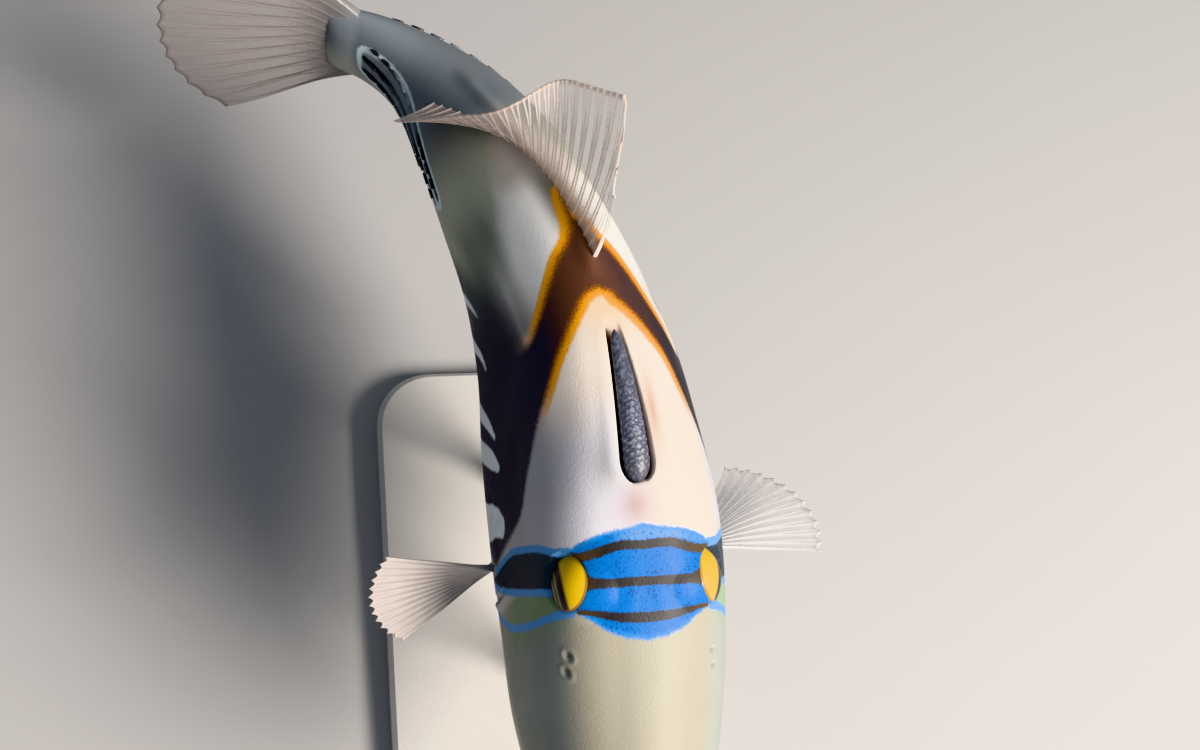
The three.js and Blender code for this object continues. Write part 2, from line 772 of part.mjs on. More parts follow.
const fish = new THREE.Group();
fish.name = "picasso_triggerfish";
fish.add(headMesh(), trunkMesh(), stalkMesh());
fish.add(eyeball(1), eyeball(-1), lip(true), lip(false));
fish.add(triggerSpineMesh(), pelvicMesh());
fish.add(longFinMesh("soft_dorsal_fin", dorsalFin, topOf, 1));
fish.add(longFinMesh("anal_fin", analFin, bottomOf, -1));
fish.add(tailFinMesh(), pectoralMesh(1), pectoralMesh(-1));
fish.add(standBaseMesh(), ...rods.map(rodMesh));

export default fish;
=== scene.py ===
import math

import bpy
import numpy as np
from mathutils import Matrix, Vector


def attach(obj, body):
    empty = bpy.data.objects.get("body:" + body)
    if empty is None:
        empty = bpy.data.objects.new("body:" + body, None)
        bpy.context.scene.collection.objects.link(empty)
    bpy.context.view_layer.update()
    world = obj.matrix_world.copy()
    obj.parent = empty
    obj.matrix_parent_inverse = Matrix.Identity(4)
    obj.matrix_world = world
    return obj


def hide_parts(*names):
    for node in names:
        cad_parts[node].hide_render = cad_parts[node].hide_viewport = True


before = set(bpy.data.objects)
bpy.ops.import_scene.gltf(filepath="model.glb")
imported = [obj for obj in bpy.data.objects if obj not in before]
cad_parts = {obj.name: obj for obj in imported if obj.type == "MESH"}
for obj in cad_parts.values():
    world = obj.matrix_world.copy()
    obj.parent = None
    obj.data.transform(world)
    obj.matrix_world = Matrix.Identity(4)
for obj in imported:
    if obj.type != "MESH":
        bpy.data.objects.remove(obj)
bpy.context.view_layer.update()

# Picasso triggerfish as a painted museum model on its stand.
# Lengths are in millimetres until a mesh is made, then in metres.
# The fish is first worked out straight, as (along from the snout tip, across to its left, high above
# the axis), and bend() carries each point onto the bent axis.
mm = 0.001


def ease(t):  # 3t^2 - 2t^3 between 0 and 1
    c = np.clip(t, 0, 1)
    return c * c * (3 - 2 * c)


def mix(a, b, t):
    return a + (b - a) * t


def linear(code):  # sRGB hex to linear RGBA
    parts = [int(code[i:i + 2], 16) / 255 for i in (1, 3, 5)]
    return (*[p / 12.92 if p <= 0.04045 else ((p + 0.055) / 1.055) ** 2.4 for p in parts], 1)


def unit(v):
    return v / np.maximum(np.linalg.norm(v, axis=-1, keepdims=True), 1e-9)


# Camera
print("camera")
view = {
    "place": (95.82, -52.78, 372.04),
    "aim": (-1.97, -3.59, 134.0),
    "roll": 22.71,  # degrees, anticlockwise from level
    "lens": 45,
}


def addCamera():
    eye = Vector(view["place"]) * mm
    ahead = (Vector(view["aim"]) * mm - eye).normalized()
    level = ahead.cross(Vector((0, 0, 1))).normalized()
    turn = math.radians(view["roll"])
    right = level * math.cos(turn) + level.cross(ahead) * math.sin(turn)
    up = right.cross(ahead)
    data = bpy.data.cameras.new("camera")
    data.lens = view["lens"]
    data.sensor_width = 36
    data.clip_start = 0.01
    made = bpy.data.objects.new("camera", data)
    made.matrix_world = Matrix((right, up, -ahead)).transposed().to_4x4()
    made.location = eye
    bpy.context.scene.collection.objects.link(made)
    bpy.context.scene.camera = made


addCamera()

# Form of the body: the same stations and bend as the solids
body = {
    "length": 200,
    "axisHeight": 94,
    "balanceAt": 90,
    "bendStart": 56,
    "curve": 0.66,  # radians over one body length
    "flick": (158, 228, 1.05),  # from, to, radians
    "crown": (58, 34, 0.6),  # broadest at, reach, squareness
    "keel": 0.3,
}
stations = np.array([  # along, top, bottom, half width, height of the widest place
    (3.6, 5.4, -6.2, 5.9, -0.6),
    (8, 8.4, -9.4, 8.8, -1.6),
    (20, 15.2, -16.6, 14.8, -5),
    (40, 25.4, -25.6, 19.2, -8),
    (58, 33.8, -33, 20.4, -8),
    (76, 40.8, -39.4, 21, -5),
    (96, 43.8, -44, 19.9, 0),
    (114, 41.6, -40.6, 17.2, 5),
    (132, 36.2, -33.6, 15.2, 7.6),
    (150, 27.6, -24.4, 14.6, 7.4),
    (168, 17.8, -15.6, 12.4, 4.4),
    (184, 12.4, -11.4, 8.4, 1),
    (200, 11.2, -10.6, 4.2, -0.6),
])


def profile(column):  # cubic through the stations, each slope taken between its two neighbours
    at, value = stations[:, 0], stations[:, column]
    last = len(at) - 1
    low, high = np.maximum(np.arange(last + 1) - 1, 0), np.minimum(np.arange(last + 1) + 1, last)
    slope = (value[high] - value[low]) / (at[high] - at[low])

    def curve(x):
        i = np.clip(np.searchsorted(at, x, side="right") - 1, 0, last - 1)
        span = at[i + 1] - at[i]
        t = np.clip((x - at[i]) / span, 0, 1)
        rise = (value[i + 1] - value[i]) / span
        first = 3 * rise - 2 * slope[i] - slope[i + 1]
        second = slope[i] + slope[i + 1] - 2 * rise
        return value[i] + span * t * (slope[i] + t * (first + t * second))

    return curve


topOf, bottomOf, halfOf, widestOf = [profile(c) for c in (1, 2, 3, 4)]


def heading(x):  # turn in radians: steady curve per length past the bend's start, plus an eased flick
    start, end, flick = body["flick"]
    steady = body["curve"] * np.maximum(0, x - body["bendStart"]) / body["length"]
    return steady + flick * ease((x - start) / (end - start))


axisSteps = np.arange(301.0)
axisTurns = heading(axisSteps[:-1] + 0.5)
axisX = np.concatenate([[0], -np.cumsum(np.cos(axisTurns))])
axisY = np.concatenate([[0], -np.cumsum(np.sin(axisTurns))])


def bend(x, y, z):  # axis point at x, plus y along the axis's left normal, plus z up
    x, y, z = np.broadcast_arrays(x, y, z)
    turn = heading(x)
    start = body["balanceAt"]
    return np.stack([
        np.interp(x, axisSteps, axisX) - axisX[start] - np.sin(turn) * y,
        np.interp(x, axisSteps, axisY) - axisY[start] + np.cos(turn) * y,
        body["axisHeight"] + z,
    ], -1)


def squareness(x):  # powers of the section above and below its widest place: squarer crown, keeled belly
    at, reach, square = body["crown"]
    fade = ease((body["length"] - x) / 60)
    upper = 2 + square * ease(1 - np.abs(x - at) / reach)
    return upper, 2 - body["keel"] * ease((x - 20) / 60) * fade


def section(x, round):
    # superellipse seen from its middle: r = (|sin|^n + |cos|^n)^(-1/n), 0 on the back and pi/2 on the left
    upper, lower = squareness(x)
    s, c = np.sin(round), np.cos(round)
    n = np.where(c >= 0, upper, lower)
    r = (np.abs(s) ** n + np.abs(c) ** n) ** (-1 / n)
    middle = widestOf(x)
    high = np.where(c >= 0, topOf(x) - middle, middle - bottomOf(x))
    return halfOf(x) * r * s, middle + high * r * c


def flankAcross(x, z):  # half width of the skin at height z: half (1 - share^n)^(1/n)
    upper, lower = squareness(x)
    middle = widestOf(x)
    above = z >= middle
    share = np.abs(z - middle) / np.where(above, topOf(x) - middle, middle - bottomOf(x))
    n = np.where(above, upper, lower)
    return halfOf(x) * np.maximum(0, 1 - np.minimum(share, 1) ** n) ** (1 / n)


# Curves and outlines drawn on the skin, in (along, round) millimetres
def smooth(points, closed=False, steps=5):  # Catmull-Rom curve through the points
    p = np.array(points, float)
    q = np.vstack([p[-1:], p, p[:2]]) if closed else np.vstack([p[:1], p, p[-1:]])
    a, b, c, d = q[:-3], q[1:-2], q[2:-1], q[3:]
    t = np.linspace(0, 1, steps, endpoint=False)[:, None, None]
    curve = 0.5 * (2 * b + (c - a) * t + (2 * a - 5 * b + 4 * c - d) * t**2 + (3 * b - a - 3 * c + d) * t**3)
    curve = curve.transpose(1, 0, 2).reshape(-1, p.shape[1])
    return curve if closed else np.vstack([curve, p[-1:]])


def toLine(x, y, points):
    # distance to a line of segments, less each place's own half width where the points give one
    best = np.full(x.shape, 1e3)
    for a, b in zip(points[:-1], points[1:]):
        dx, dy = b[0] - a[0], b[1] - a[1]
        t = np.clip(((x - a[0]) * dx + (y - a[1]) * dy) / (dx * dx + dy * dy + 1e-9), 0, 1)
        away = np.hypot(x - a[0] - t * dx, y - a[1] - t * dy)
        if len(a) > 2:
            away = away - mix(a[2], b[2], t)
        best = np.minimum(best, away)
    return best


def insideBy(x, y, outline):  # distance to a closed outline, positive inside by the crossing rule
    ring = np.vstack([outline, outline[:1]])
    inside = np.zeros(x.shape, bool)
    for a, b in zip(ring[:-1], ring[1:]):
        crosses = (a[1] > y) != (b[1] > y)
        at = a[0] + (y - a[1]) * (b[0] - a[0]) / (b[1] - a[1] + 1e-12)
        inside ^= crosses & (x < at)
    return np.where(inside, 1, -1) * toLine(x, y, ring)


# Meshes
def gridFaces(rows, columns, wrap=False):  # quads between neighbours, row by row
    i = np.arange(rows - 1)[:, None] * columns
    k = np.arange(columns if wrap else columns - 1)[None]
    beside = (k + 1) % columns
    return np.stack([i + k, i + beside, i + columns + beside, i + columns + k], -1).reshape(-1, 4)


def addMesh(name, points, faces, marks=None):
    # mesh of points in millimetres, with its faces turned outwards where its volume comes out negative
    corner = points[np.vstack([f[:, [0, i, i + 1]] for f in faces for i in range(1, f.shape[1] - 1)])]
    if np.einsum("ij,ij->i", corner[:, 0], np.cross(corner[:, 1], corner[:, 2])).sum() < 0:
        faces = [f[:, ::-1] for f in faces]
    mesh = bpy.data.meshes.new(name)
    mesh.from_pydata((points * mm).tolist(), [], [face for f in faces for face in f.tolist()])
    for key, value in (marks or {}).items():
        kind, field = ("FLOAT_COLOR", "color") if np.ndim(value) > 1 else ("FLOAT", "value")
        layer = mesh.attributes.new(key, kind, "POINT")
        layer.data.foreach_set(field, np.asarray(value, np.float32).ravel())
    mesh.polygons.foreach_set("use_smooth", np.ones(len(mesh.polygons), bool))
    mesh.update()
    made = bpy.data.objects.new(name, mesh)
    bpy.context.scene.collection.objects.link(made)
    return made


def finishPiece(piece, material, slot, *nodes):
    piece.data.materials.append(material)
    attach(piece, "root")
    if nodes:
        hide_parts(*nodes)


def tubeGrid(rings):  # closed tube: rings of points, with a fan over each end
    rows, columns = rings.shape[:2]
    points = np.vstack([rings.reshape(-1, 3), rings[0].mean(0)[None], rings[-1].mean(0)[None]])
    k = np.arange(columns)
    beside = (k + 1) % columns
    low = np.stack([beside, k, np.full(columns, rows * columns)], -1)
    top = (rows - 1) * columns
    high = np.stack([top + k, top + beside, np.full(columns, rows * columns + 1)], -1)
    return points, [gridFaces(rows, columns, True), low, high]


def tubeMarks(marks):  # marks of a tube's rings, and of the middle point of each end
    return {key: np.concatenate([m.reshape(-1, *m.shape[2:]), m[0, :1], m[-1, :1]])
            for key, m in marks.items()}


def joined(parts):  # several closed pieces as one, with their faces counted on
    points, faces, count = [], [], 0
    for ownPoints, ownFaces in parts:
        points.append(ownPoints)
        faces += [f + count for f in ownFaces]
        count += len(ownPoints)
    return np.vstack(points), faces


def plateGrid(middle, half):
    # two faces at half the thickness each side of the middle surface, joined round the rim
    columns, rows = middle.shape[:2]
    normal = unit(np.cross(np.gradient(middle, axis=0), np.gradient(middle, axis=1)))
    lift = normal * half[..., None]
    points = np.vstack([(middle + lift).reshape(-1, 3), (middle - lift).reshape(-1, 3)])
    front = gridFaces(columns, rows)
    count = columns * rows
    i, j = np.arange(columns), np.arange(rows)
    rim = np.concatenate([i * rows, (columns - 1) * rows + j[1:], i[-2::-1] * rows + rows - 1, j[-2:0:-1]])
    beside = np.roll(rim, -1)
    edge = np.stack([rim, beside, beside + count, rim + count], -1)
    return points, [front, front[:, ::-1] + count, edge]


# Materials
usual = {  # settings of each kind of node, its sockets in the order they are filled, and the output read
    "Mix": ({"data_type": "RGBA"}, (0, 6, 7), 2),
    "MapRange": ({"interpolation_type": "SMOOTHSTEP"}, range(5), 0),
    "Attribute": ({}, (), "Fac"),
    "TexCoord": ({}, (), "Object"),
}


def fill(tree, node, sockets):
    for key, value in sockets.items():
        if isinstance(value, bpy.types.NodeSocket):
            tree.links.new(value, node.inputs[key])
        else:
            node.inputs[key].default_value = value


def add(tree, kind, *values, read=None, **named):
    # one shader node: values fill its sockets in order, and names fill its other sockets or its settings
    made = tree.nodes.new("ShaderNode" + kind)
    settings, order, output = usual.get(kind, ({}, range(len(values)), 0))
    sockets = dict(zip(order, values))
    for key, value in {**settings, **named}.items():
        if key in made.inputs:
            sockets[key] = value
        else:
            setattr(made, key, value)
    fill(tree, made, sockets)
    return made.outputs[output if read is None else read]


def scaleFor(size):  # pattern scale from the real size of its grains, threads or blotches in millimetres
    return 1 / (size * mm)


def startMaterial(name):
    made = bpy.data.materials.new(name)
    made.use_nodes = True
    return made, made.node_tree, add(made.node_tree, "TexCoord")


def finishMaterial(made, sockets):
    fill(made.node_tree, made.node_tree.nodes["Principled BSDF"], sockets)
    return made


# Body skin
print("body skin")
skin = {
    "rings": ((3.6, 40, 0.7), (40, 70, 0.36), (70, 104, 0.45), (104, 200, 0.8)),  # from, to, spacing
    "columns": 288,
    "eye": (58.3, 8.4, 25.5),
    "eyeRadius": 6.8,
    "eyeTilt": 0.53,
    "rimRadius": 4.9,
    "moundSink": 2,
    "nostrils": ((46.6, 22.6), (44.2, 20.8)),
    "nostrilRadius": 0.85,
    "gill": ((64.2, 4), (64.6, -4), (67, -12)),
    "groove": (71.6, 102, 3.1, 1.1, 4.2),  # from, to, half width, half width at the tip, depth
    "scutes": (74, 1.5, 4.6, 2.3, 0.38),  # along, high, step, radius, rise
    "finRidge": 0.9,
    "mouthEnd": ((2.2, 0.25), (1.8, 0.5), (1.0, 0.72), (0.3, 0.86)),  # how far back, and size
    "stalkEnd": (0.15, 0.3, 0.5, 0.7, 0.85, 0.95),  # share of the way to its tip
}


def eyeFrame(side):  # centre of the eye, the way it looks, the way back along the head, and up
    x, y, z = skin["eye"]
    turn = heading(np.float64(x))
    tilt = skin["eyeTilt"]
    level = np.array([-math.sin(turn), math.cos(turn), 0]) * side
    look = level * math.cos(tilt) + np.array([0, 0, math.sin(tilt)])
    back = np.array([-math.cos(turn), -math.sin(turn), 0])
    return bend(x, side * y, z), look, back, np.cross(look, back) * side


def columnRound(count):  # angles round the body, closer together on the back: pi (t + t^3) / 2
    t = np.linspace(-1, 1, count, endpoint=False)
    return np.pi * (0.5 * t + 0.5 * t**3)


def bodyGrid():
    spans = [np.arange(a, b, d) for a, b, d in skin["rings"]]
    x = np.concatenate(spans + [[body["length"]]])
    x, round = np.meshgrid(x, columnRound(skin["columns"]), indexing="ij")
    y, z = section(x, round)
    return x, y, z


def roundLength(y, z):  # arc length from the middle of the back, positive to the left
    middle = y.shape[1] // 2
    piece = np.hypot(np.diff(y, axis=1), np.diff(z, axis=1))
    run = np.concatenate([np.zeros((len(y), 1)), np.cumsum(piece, 1)], 1)
    return run - run[:, middle:middle + 1]


def grooveForm(x, y, z):
    # how deep the spine's groove is and how high its lips are: depth sqrt(1 - 0.85 t), shallower on the left
    first, last, wide, tip, depth = skin["groove"]
    t = np.clip((x - first) / (last - first), 0, 1)
    half = mix(wide, tip, t**1.4) * np.sqrt(1 - (1 - np.clip((x - first) / 5, 0, 1)) ** 2) + 0.01
    open = (x > first) & (x < last) & (z > 0)
    ends = ease((x - first) / 2.5) * ease((last - x) / 4)
    cut = ease((1.16 - np.abs(y) / half) / 0.45) * ends * depth * np.sqrt(1 - 0.85 * t)
    cut = cut * (1 - 0.4 * ease(y / 2 + 0.5))
    lip = 0.22 * np.exp(-(((np.abs(y) - 1.6 * half) / 1.2) ** 2)) * ends
    return np.where(open, cut, 0), np.where(open, lip, 0)


def shapeSkin(x, y, z):
    # local forms added to the section: groove, fin ridges, gill slit, scutes, nostrils and eye mounds
    cut, lip = grooveForm(x, y, z)
    z = z - cut + lip
    dorsal = ease((x - 109) / 6) * ease((176 - x) / 8) * (z > 0)
    anal = ease((x - 114) / 6) * ease((174 - x) / 8) * (z < 0)
    z = z + skin["finRidge"] * np.exp(-((y / 1.7) ** 2)) * (dorsal - anal)

    points = bend(x, y, z)
    along = np.gradient(points, axis=0)
    across = np.roll(points, -1, 1) - np.roll(points, 1, 1)
    normal = unit(np.cross(along, across))
    middle = bend(x, np.zeros_like(y), widestOf(x))
    normal *= np.sign((normal * (points - middle)).sum(-1, keepdims=True).mean())

    gill = smooth(skin["gill"])
    slit = toLine(x, z, gill)
    lift = -1.5 * np.exp(-((slit / 0.45) ** 2)) + 0.35 * np.exp(-(((slit - 1.3) / 0.8) ** 2)) * (x < 66)
    atX, atZ, stepBy, radius, rise = skin["scutes"]
    for i in range(3):
        for j in range(2):
            away = np.hypot(x - atX - (i + 0.5 * (j % 2)) * stepBy, z - atZ - j * stepBy)
            lift = lift + rise * ease((radius * (1 - 0.08 * i) - away) / 0.8)
    for nx, nz in skin["nostrils"]:
        away = np.hypot(x - nx, (z - nz) * 1.3)
        pit = np.exp(-((away / (0.75 * skin["nostrilRadius"])) ** 2))
        lift = lift - 0.8 * pit * (z > 0) + 0.15 * np.exp(-(((away - 1.25) / 0.4) ** 2)) * (z > 0)
    points = points + normal * lift[..., None]

    ballRadius, rim, sink = skin["eyeRadius"], skin["rimRadius"], skin["moundSink"]
    moundRadius = math.hypot(rim, math.sqrt(ballRadius**2 - rim**2) + sink)
    for side in (1, -1):
        centre, look = eyeFrame(side)[:2]
        from_ = points - centre
        high = from_ @ look
        rho = np.linalg.norm(from_ - high[..., None] * look, axis=-1)
        near = (rho < 10.5) & (high > -6)
        ballHigh = np.sqrt(ballRadius**2 - np.minimum(rho, ballRadius) ** 2)
        mound = -sink + np.sqrt(np.maximum(0, moundRadius**2 - rho**2))
        soft = 1.4
        gapTo = np.clip(0.5 + 0.5 * (mound - high) / soft, 0, 1)
        outside = mix(high, mound, gapTo) + soft * gapTo * (1 - gapTo)
        outside = mix(high, outside, ease((10.5 - rho) / 2))
        inside = ballHigh - 0.15 - 1.3 * ease((rim - rho) / 1.1)
        target = mix(inside, outside, ease((rho - rim + 0.25) / 0.5))
        points = points + np.where(near, target - high, 0)[..., None] * look
    return points


def closeSkin(points, x):
    # the mouth end turns in to a shallow pit, and the stalk end closes inside the tail fin as an ellipse
    middle = bend(3.6, 0, -0.4)
    mouthEnd = [middle + (points[0] - middle) * size - np.array([back, 0, 0])
                for back, size in skin["mouthEnd"]]
    y, z = section(np.full(x.shape[1], float(body["length"])), columnRound(x.shape[1]))
    stalkEnd = [bend(body["length"] + 8 * t, y * math.sqrt(1 - t * t), z * (1 - 0.06 * t))
                for t in skin["stalkEnd"]]
    return np.concatenate([np.array(mouthEnd), points, np.array(stalkEnd)])


# Markings. Outlines are (millimetres back from the snout tip, millimetres round from the middle of the back).
# One list serves both sides unless it says which, and a third number is a line's half width.
markings = {
    "saddle": [(47.6, -8), (47.6, 2), (48.4, 5), (49.6, 7.5), (51.2, 9.6), (52.6, 11.6), (54, 14.5),
        (58, 16.5), (62, 15), (63.7, 12.9), (64.2, 10.6), (64.6, 8), (64.9, 4), (64.9, -8)],
    "bands": [
        [(62.2, 0, 0.7), (62.4, 4.5, 0.75), (61.8, 8, 0.8), (61.7, 11, 0.7), (62.4, 13.5, 0.5)],
        [(56.5, 0, 0.72), (56.5, 5, 0.75), (56.7, 8.3, 0.9), (57.2, 10.8, 1.7)],
        [(50.8, 0, 0.8), (51, 4, 0.75), (51.6, 6.8, 0.6), (52.2, 9, 0.42), (52.8, 11.5, 0.35)],
    ],
    "cheekLines": [
        [(63.2, 14, 0.7), (64, 17.5, 0.62), (65.3, 20.5, 0.6), (66.8, 25, 0.6), (68, 30, 0.6),
         (69.1, 35, 0.6), (69.5, 43, 0.6), (69.8, 52, 0.5)],
        [(57.2, 17.5, 0.55), (58.4, 22, 0.55), (60.4, 30, 0.6), (64, 43, 0.62), (67, 52, 0.55),
         (69.5, 57, 0.4)],
        [(53, 13, 0.7), (53.4, 16, 0.7), (53.6, 20.6, 0.65), (54, 27, 0.65), (55.6, 36, 0.65),
         (58, 44, 0.65), (62, 53, 0.6), (68, 60, 0.45)],
    ],
    "cheekBar": [(57.6, 15), (63.4, 14.6), (64.9, 19.5), (66.6, 25), (67.8, 30), (68.9, 36), (69.3, 44),
        (69.6, 52), (69.4, 57), (66.8, 52), (63.8, 43), (60.2, 30), (58.4, 22)],
    "darkLeft": [(106.4, -8), (106.4, 0), (104.6, 1.6), (102.6, 3.4), (100.4, 5.2), (97.6, 7.5),
        (94.8, 10.2), (91.2, 12.9), (88, 15), (85, 17.4), (81, 21.5), (76.5, 25.5), (72.6, 30),
        (70.8, 36), (70.2, 46), (71, 55), (78, 59), (88, 66), (100, 77), (110, 86), (118, 96), (134, 84),
        (150, 64), (150, 58), (140, 44), (128, 33), (117, 25), (107, 22), (99, 20.6), (99.6, 18.6),
        (101.6, 15.9), (104.4, 12.8), (108, 10.4), (111.4, 8.6), (114.8, 6.7), (118, 4.9), (120.6, 3.2),
        (123.4, 1.6), (124, -8)],
    "darkRight": [(107, -8), (107, 0.2), (106.1, 2.8), (104.1, 4.7), (101.7, 6.8), (99.2, 9), (97, 11.1),
        (94.4, 13.2), (91.4, 15.6), (88.4, 18.4), (84.4, 21.2), (79.5, 24.4), (73.6, 28), (71.3, 33.5),
        (70.2, 42), (70.4, 52), (78, 59), (88, 66), (100, 77), (110, 86), (118, 96), (134, 84), (150, 64),
        (150, 58), (140, 44), (130, 34), (121, 26), (114.5, 22.8), (108.5, 21.4), (105.4, 19.8),
        (104.6, 17.6), (107.4, 13.9), (109.8, 11.7), (112.2, 9.7), (114.6, 7.7), (116.9, 5.9), (118.6, 4),
        (120.6, 2.3), (123.4, 1.4), (127, 1), (130, 0.4), (131.6, -1), (132, -8)],
    "whiteBars": [
        [(75.8, 41, 2.2), (78.6, 46, 3.2), (80.5, 53, 3.8), (84, 62, 4.2), (91, 73, 4)],
        [(87.2, 39.4, 0.9), (90.4, 43.4, 2), (94.4, 50, 2.3), (99.5, 59, 2.5), (106, 71, 2.2),
         (112, 84, 1.6)],
        [(93.6, 39.2, 0.6), (98.6, 43.4, 1.4), (104, 50, 1.9), (110.5, 59, 2.1), (117, 70, 1.8),
         (122, 82, 1.4)],
        [(108.6, 38, 0.5), (114, 41, 1.1), (119.5, 47, 1.6), (125, 55, 1.8), (130, 64, 1.5),
         (134, 74, 1.1)],
        [(121, 35.6, 0.4), (127, 40, 1), (133, 47, 1.4), (138, 55, 1.4), (142, 63, 1)],
    ],
    # along, high
    "stripe": [(5, -1.6, 0.5), (20, -6.4, 0.9), (40, -11.6, 1), (58, -15.4, 1), (70, -17, 0.8)],
    # along, high
    "patch": [(148.5, 9.4), (152, 10.2), (162, 9.4), (172, 8.6), (184, 8), (197, 6.4), (199, 2),
        (196, -3.4), (180, -3.8), (164, -3.2), (154, 0.4), (149.5, 6)],
    "thornRows": ((7, 1), (3, 1), (-1, 0.6)),  # high at the rear, and how much higher at the front
}


def mirrored(x, w, names):  # one outline a side, read with the distance round from the back
    left, right = [insideBy(x, np.abs(w), smooth(markings[n], True)) for n in names]
    return np.where(w > 0, left, right)


def nearest(x, w, lines):  # positive inside the nearest of several lines
    found = [toLine(x, w, smooth(line)) for line in lines]
    return -np.minimum.reduce(found)


def rowHigh(row, x):  # height of a row of thorns, a little higher towards the front
    high, more = row
    return high + more * ease((178 - x) / 24)


def skinMarks(x, w, z):
    a = np.abs(w)
    rows = np.minimum.reduce([np.abs(z - rowHigh(r, x)) for r in markings["thornRows"]])
    rowEnds = np.minimum(x - 150.5, 197.5 - x)
    return {
        "saddle": insideBy(x, a, smooth(markings["saddle"], True)),
        "bands": nearest(x, a, markings["bands"]),
        "cheekLines": nearest(x, a, markings["cheekLines"]),
        "cheekBar": insideBy(x, a, smooth(markings["cheekBar"], True)),
        "dark": mirrored(x, w, ("darkLeft", "darkRight")),
        "whiteBars": nearest(x, a, markings["whiteBars"]),
        "stripe": -toLine(x, z, smooth(markings["stripe"])),
        "patch": insideBy(x, z, smooth(markings["patch"], True)),
        "rows": np.minimum(0.85 - rows, rowEnds),
        "along": x,
        "round": w,
    }


tones = {  # soft ground colours of the skin
    "snout": "#9d9888",
    "snoutSide": "#888f8a",
    # lit copy of the snout tone: painted darker on the snout's left and middle, where the key lamp falls
    "snoutLit": "#8a877a",
    "cheek": "#7c9173",
    "face": "#ddd2b4",
    "nape": "#f3e6d8",
    # painted shade: cool grey on the nape's right side only
    "napeShade": "#bbbcc8",
    # grey of the nape's sides, also used as painted shade beside the spine and low on the wedge
    "napeSideAndShade": "#aeadb2",
    "pink": "#8a7175",
    "glow": "#f6d3a2",
    "wedge": "#fbf9f3",
    "tan": "#c4b9af",
    "olive": "#acb19f",
    # dark olive behind the black, also used as painted shade on the nape's right beside the spine
    "oliveDarkAndShade": "#555b5b",
    "stalk": "#646d78",
    "stalkSide": "#a9aca2",
    "belly": "#e9e6dc",
    "brown": "#5c4034",
    # black of the flank, painted lighter on the shaded right side and darker on the lit left
    "black": "#32303d",
    "blackLitSide": "#201e27",
    # painted shade in the spine's groove and beside it: dark on its right, brown on its left
    "grooveShadeDark": "#26262e",
    "grooveShadeBrown": "#80523f",
}
spots = (  # soft spots on the nape, the middle three painted shade beside the spine: tone, strength, middle and reach along, middle and reach round
    ("pink", 0.85, 68.5, 4, -1, 3.4),
    # painted shade beside the spine: brown on its left, grey and olive on its right
    ("grooveShadeBrown", 0.75, 84, 7, 4, 1.3),
    ("napeSideAndShade", 0.6, 78, 8, -4.6, 1.5),
    ("oliveDarkAndShade", 0.35, 75.5, 5, -6.2, 2.4),
    ("glow", 0.75, 104.5, 5.5, 0, 6),
)


def skinTones(x, w, z):
    # ground colour: each layer is mixed over the last by an eased window of along, round and high
    a = np.abs(w)
    colour = np.broadcast_to(np.array(linear(tones["snout"])), x.shape + (4,)).copy()

    def lay(name, share):
        colour[:] = mix(colour, np.array(linear(tones[name])), np.clip(share, 0, 1)[..., None])

    head = ease((62 - x) / 10)
    # painted light and shade: the snout's lit left and middle in a darker copy of its tone
    lay("snoutLit", head * ease((w + 8) / 5) * 0.85)
    lay("snoutSide", head * ease((a - 10) / 9) * 0.9)
    lay("cheek", ease((x - 50) / 5) * ease((66 - x) / 4) * ease((a - 12) / 4) * ease((48 - a) / 14))
    lay("face", head * ease((2 - z - 0.12 * x) / 10))
    nape = ease((x - 60) / 5) * ease((128 - x) / 12)
    lay("nape", nape)
    # painted shade: cooler grey over the nape's right side
    lay("napeShade", nape * ease(0.5 - w / 8) * ease((92 - x) / 14) * 0.85)
    lay("napeSideAndShade", nape * ease((a - 14) / 7) * ease((104 - x) / 10))
    for name, share, atX, reachX, atW, reachW in spots:
        lay(name, share * np.exp(-(((x - atX) / reachX) ** 2) - ((w - atW) / reachW) ** 2))
    lay("wedge", ease((x - 106) / 8) * ease((a - 1) / 4))
    # painted shade: the wedge darker low on its sides
    lay("napeSideAndShade", ease((x - 104) / 3) * ease((118 - x) / 12) * ease((a - 10) / 6) * 0.7)
    lay("tan", ease((x - 132) / 8) * ease((12 - a) / 5) * 0.9)
    lay("olive", ease((x - 117 + 0.8 * (a - 17)) / 16) * ease((a - 9.8 + 0.42 * np.maximum(0, x - 131)) / 6))
    behind = ease((x - 103) / 4) * ease((146 - x) / 14)
    lay("oliveDarkAndShade", 0.55 * behind * ease((a - 13) / 5) * ease((34 - a) / 8))
    lay("stalk", ease((x - 146) / 20) * 0.9)
    lay("stalkSide", ease((x - 120) / 20) * ease((4 - z) / 10))
    lay("belly", ease((-10 - z) / 10))
    return colour


def darkTones(x, w):
    # brown on the back, black on the flank, dark olive where the black fades behind; the black is painted
    # darker on the lit left side than on the shaded right
    a = np.abs(w)
    tone = {name: np.array(linear(tones[name])) for name in ("brown", "black", "blackLitSide", "oliveDarkAndShade")}
    black = mix(tone["black"], tone["blackLitSide"], ease(w / 10)[..., None])
    colour = mix(tone["brown"], black, ease((a - 6) / 9)[..., None])
    # painted shade: more black over the brown on the lit left side
    colour = mix(colour, black, (0.55 * ease(w / 6))[..., None])
    behind = ease((x - 112) / 18) * ease((a - 16) / 6) * ease((48 - a) / 12)
    return mix(colour, tone["oliveDarkAndShade"], behind[..., None])


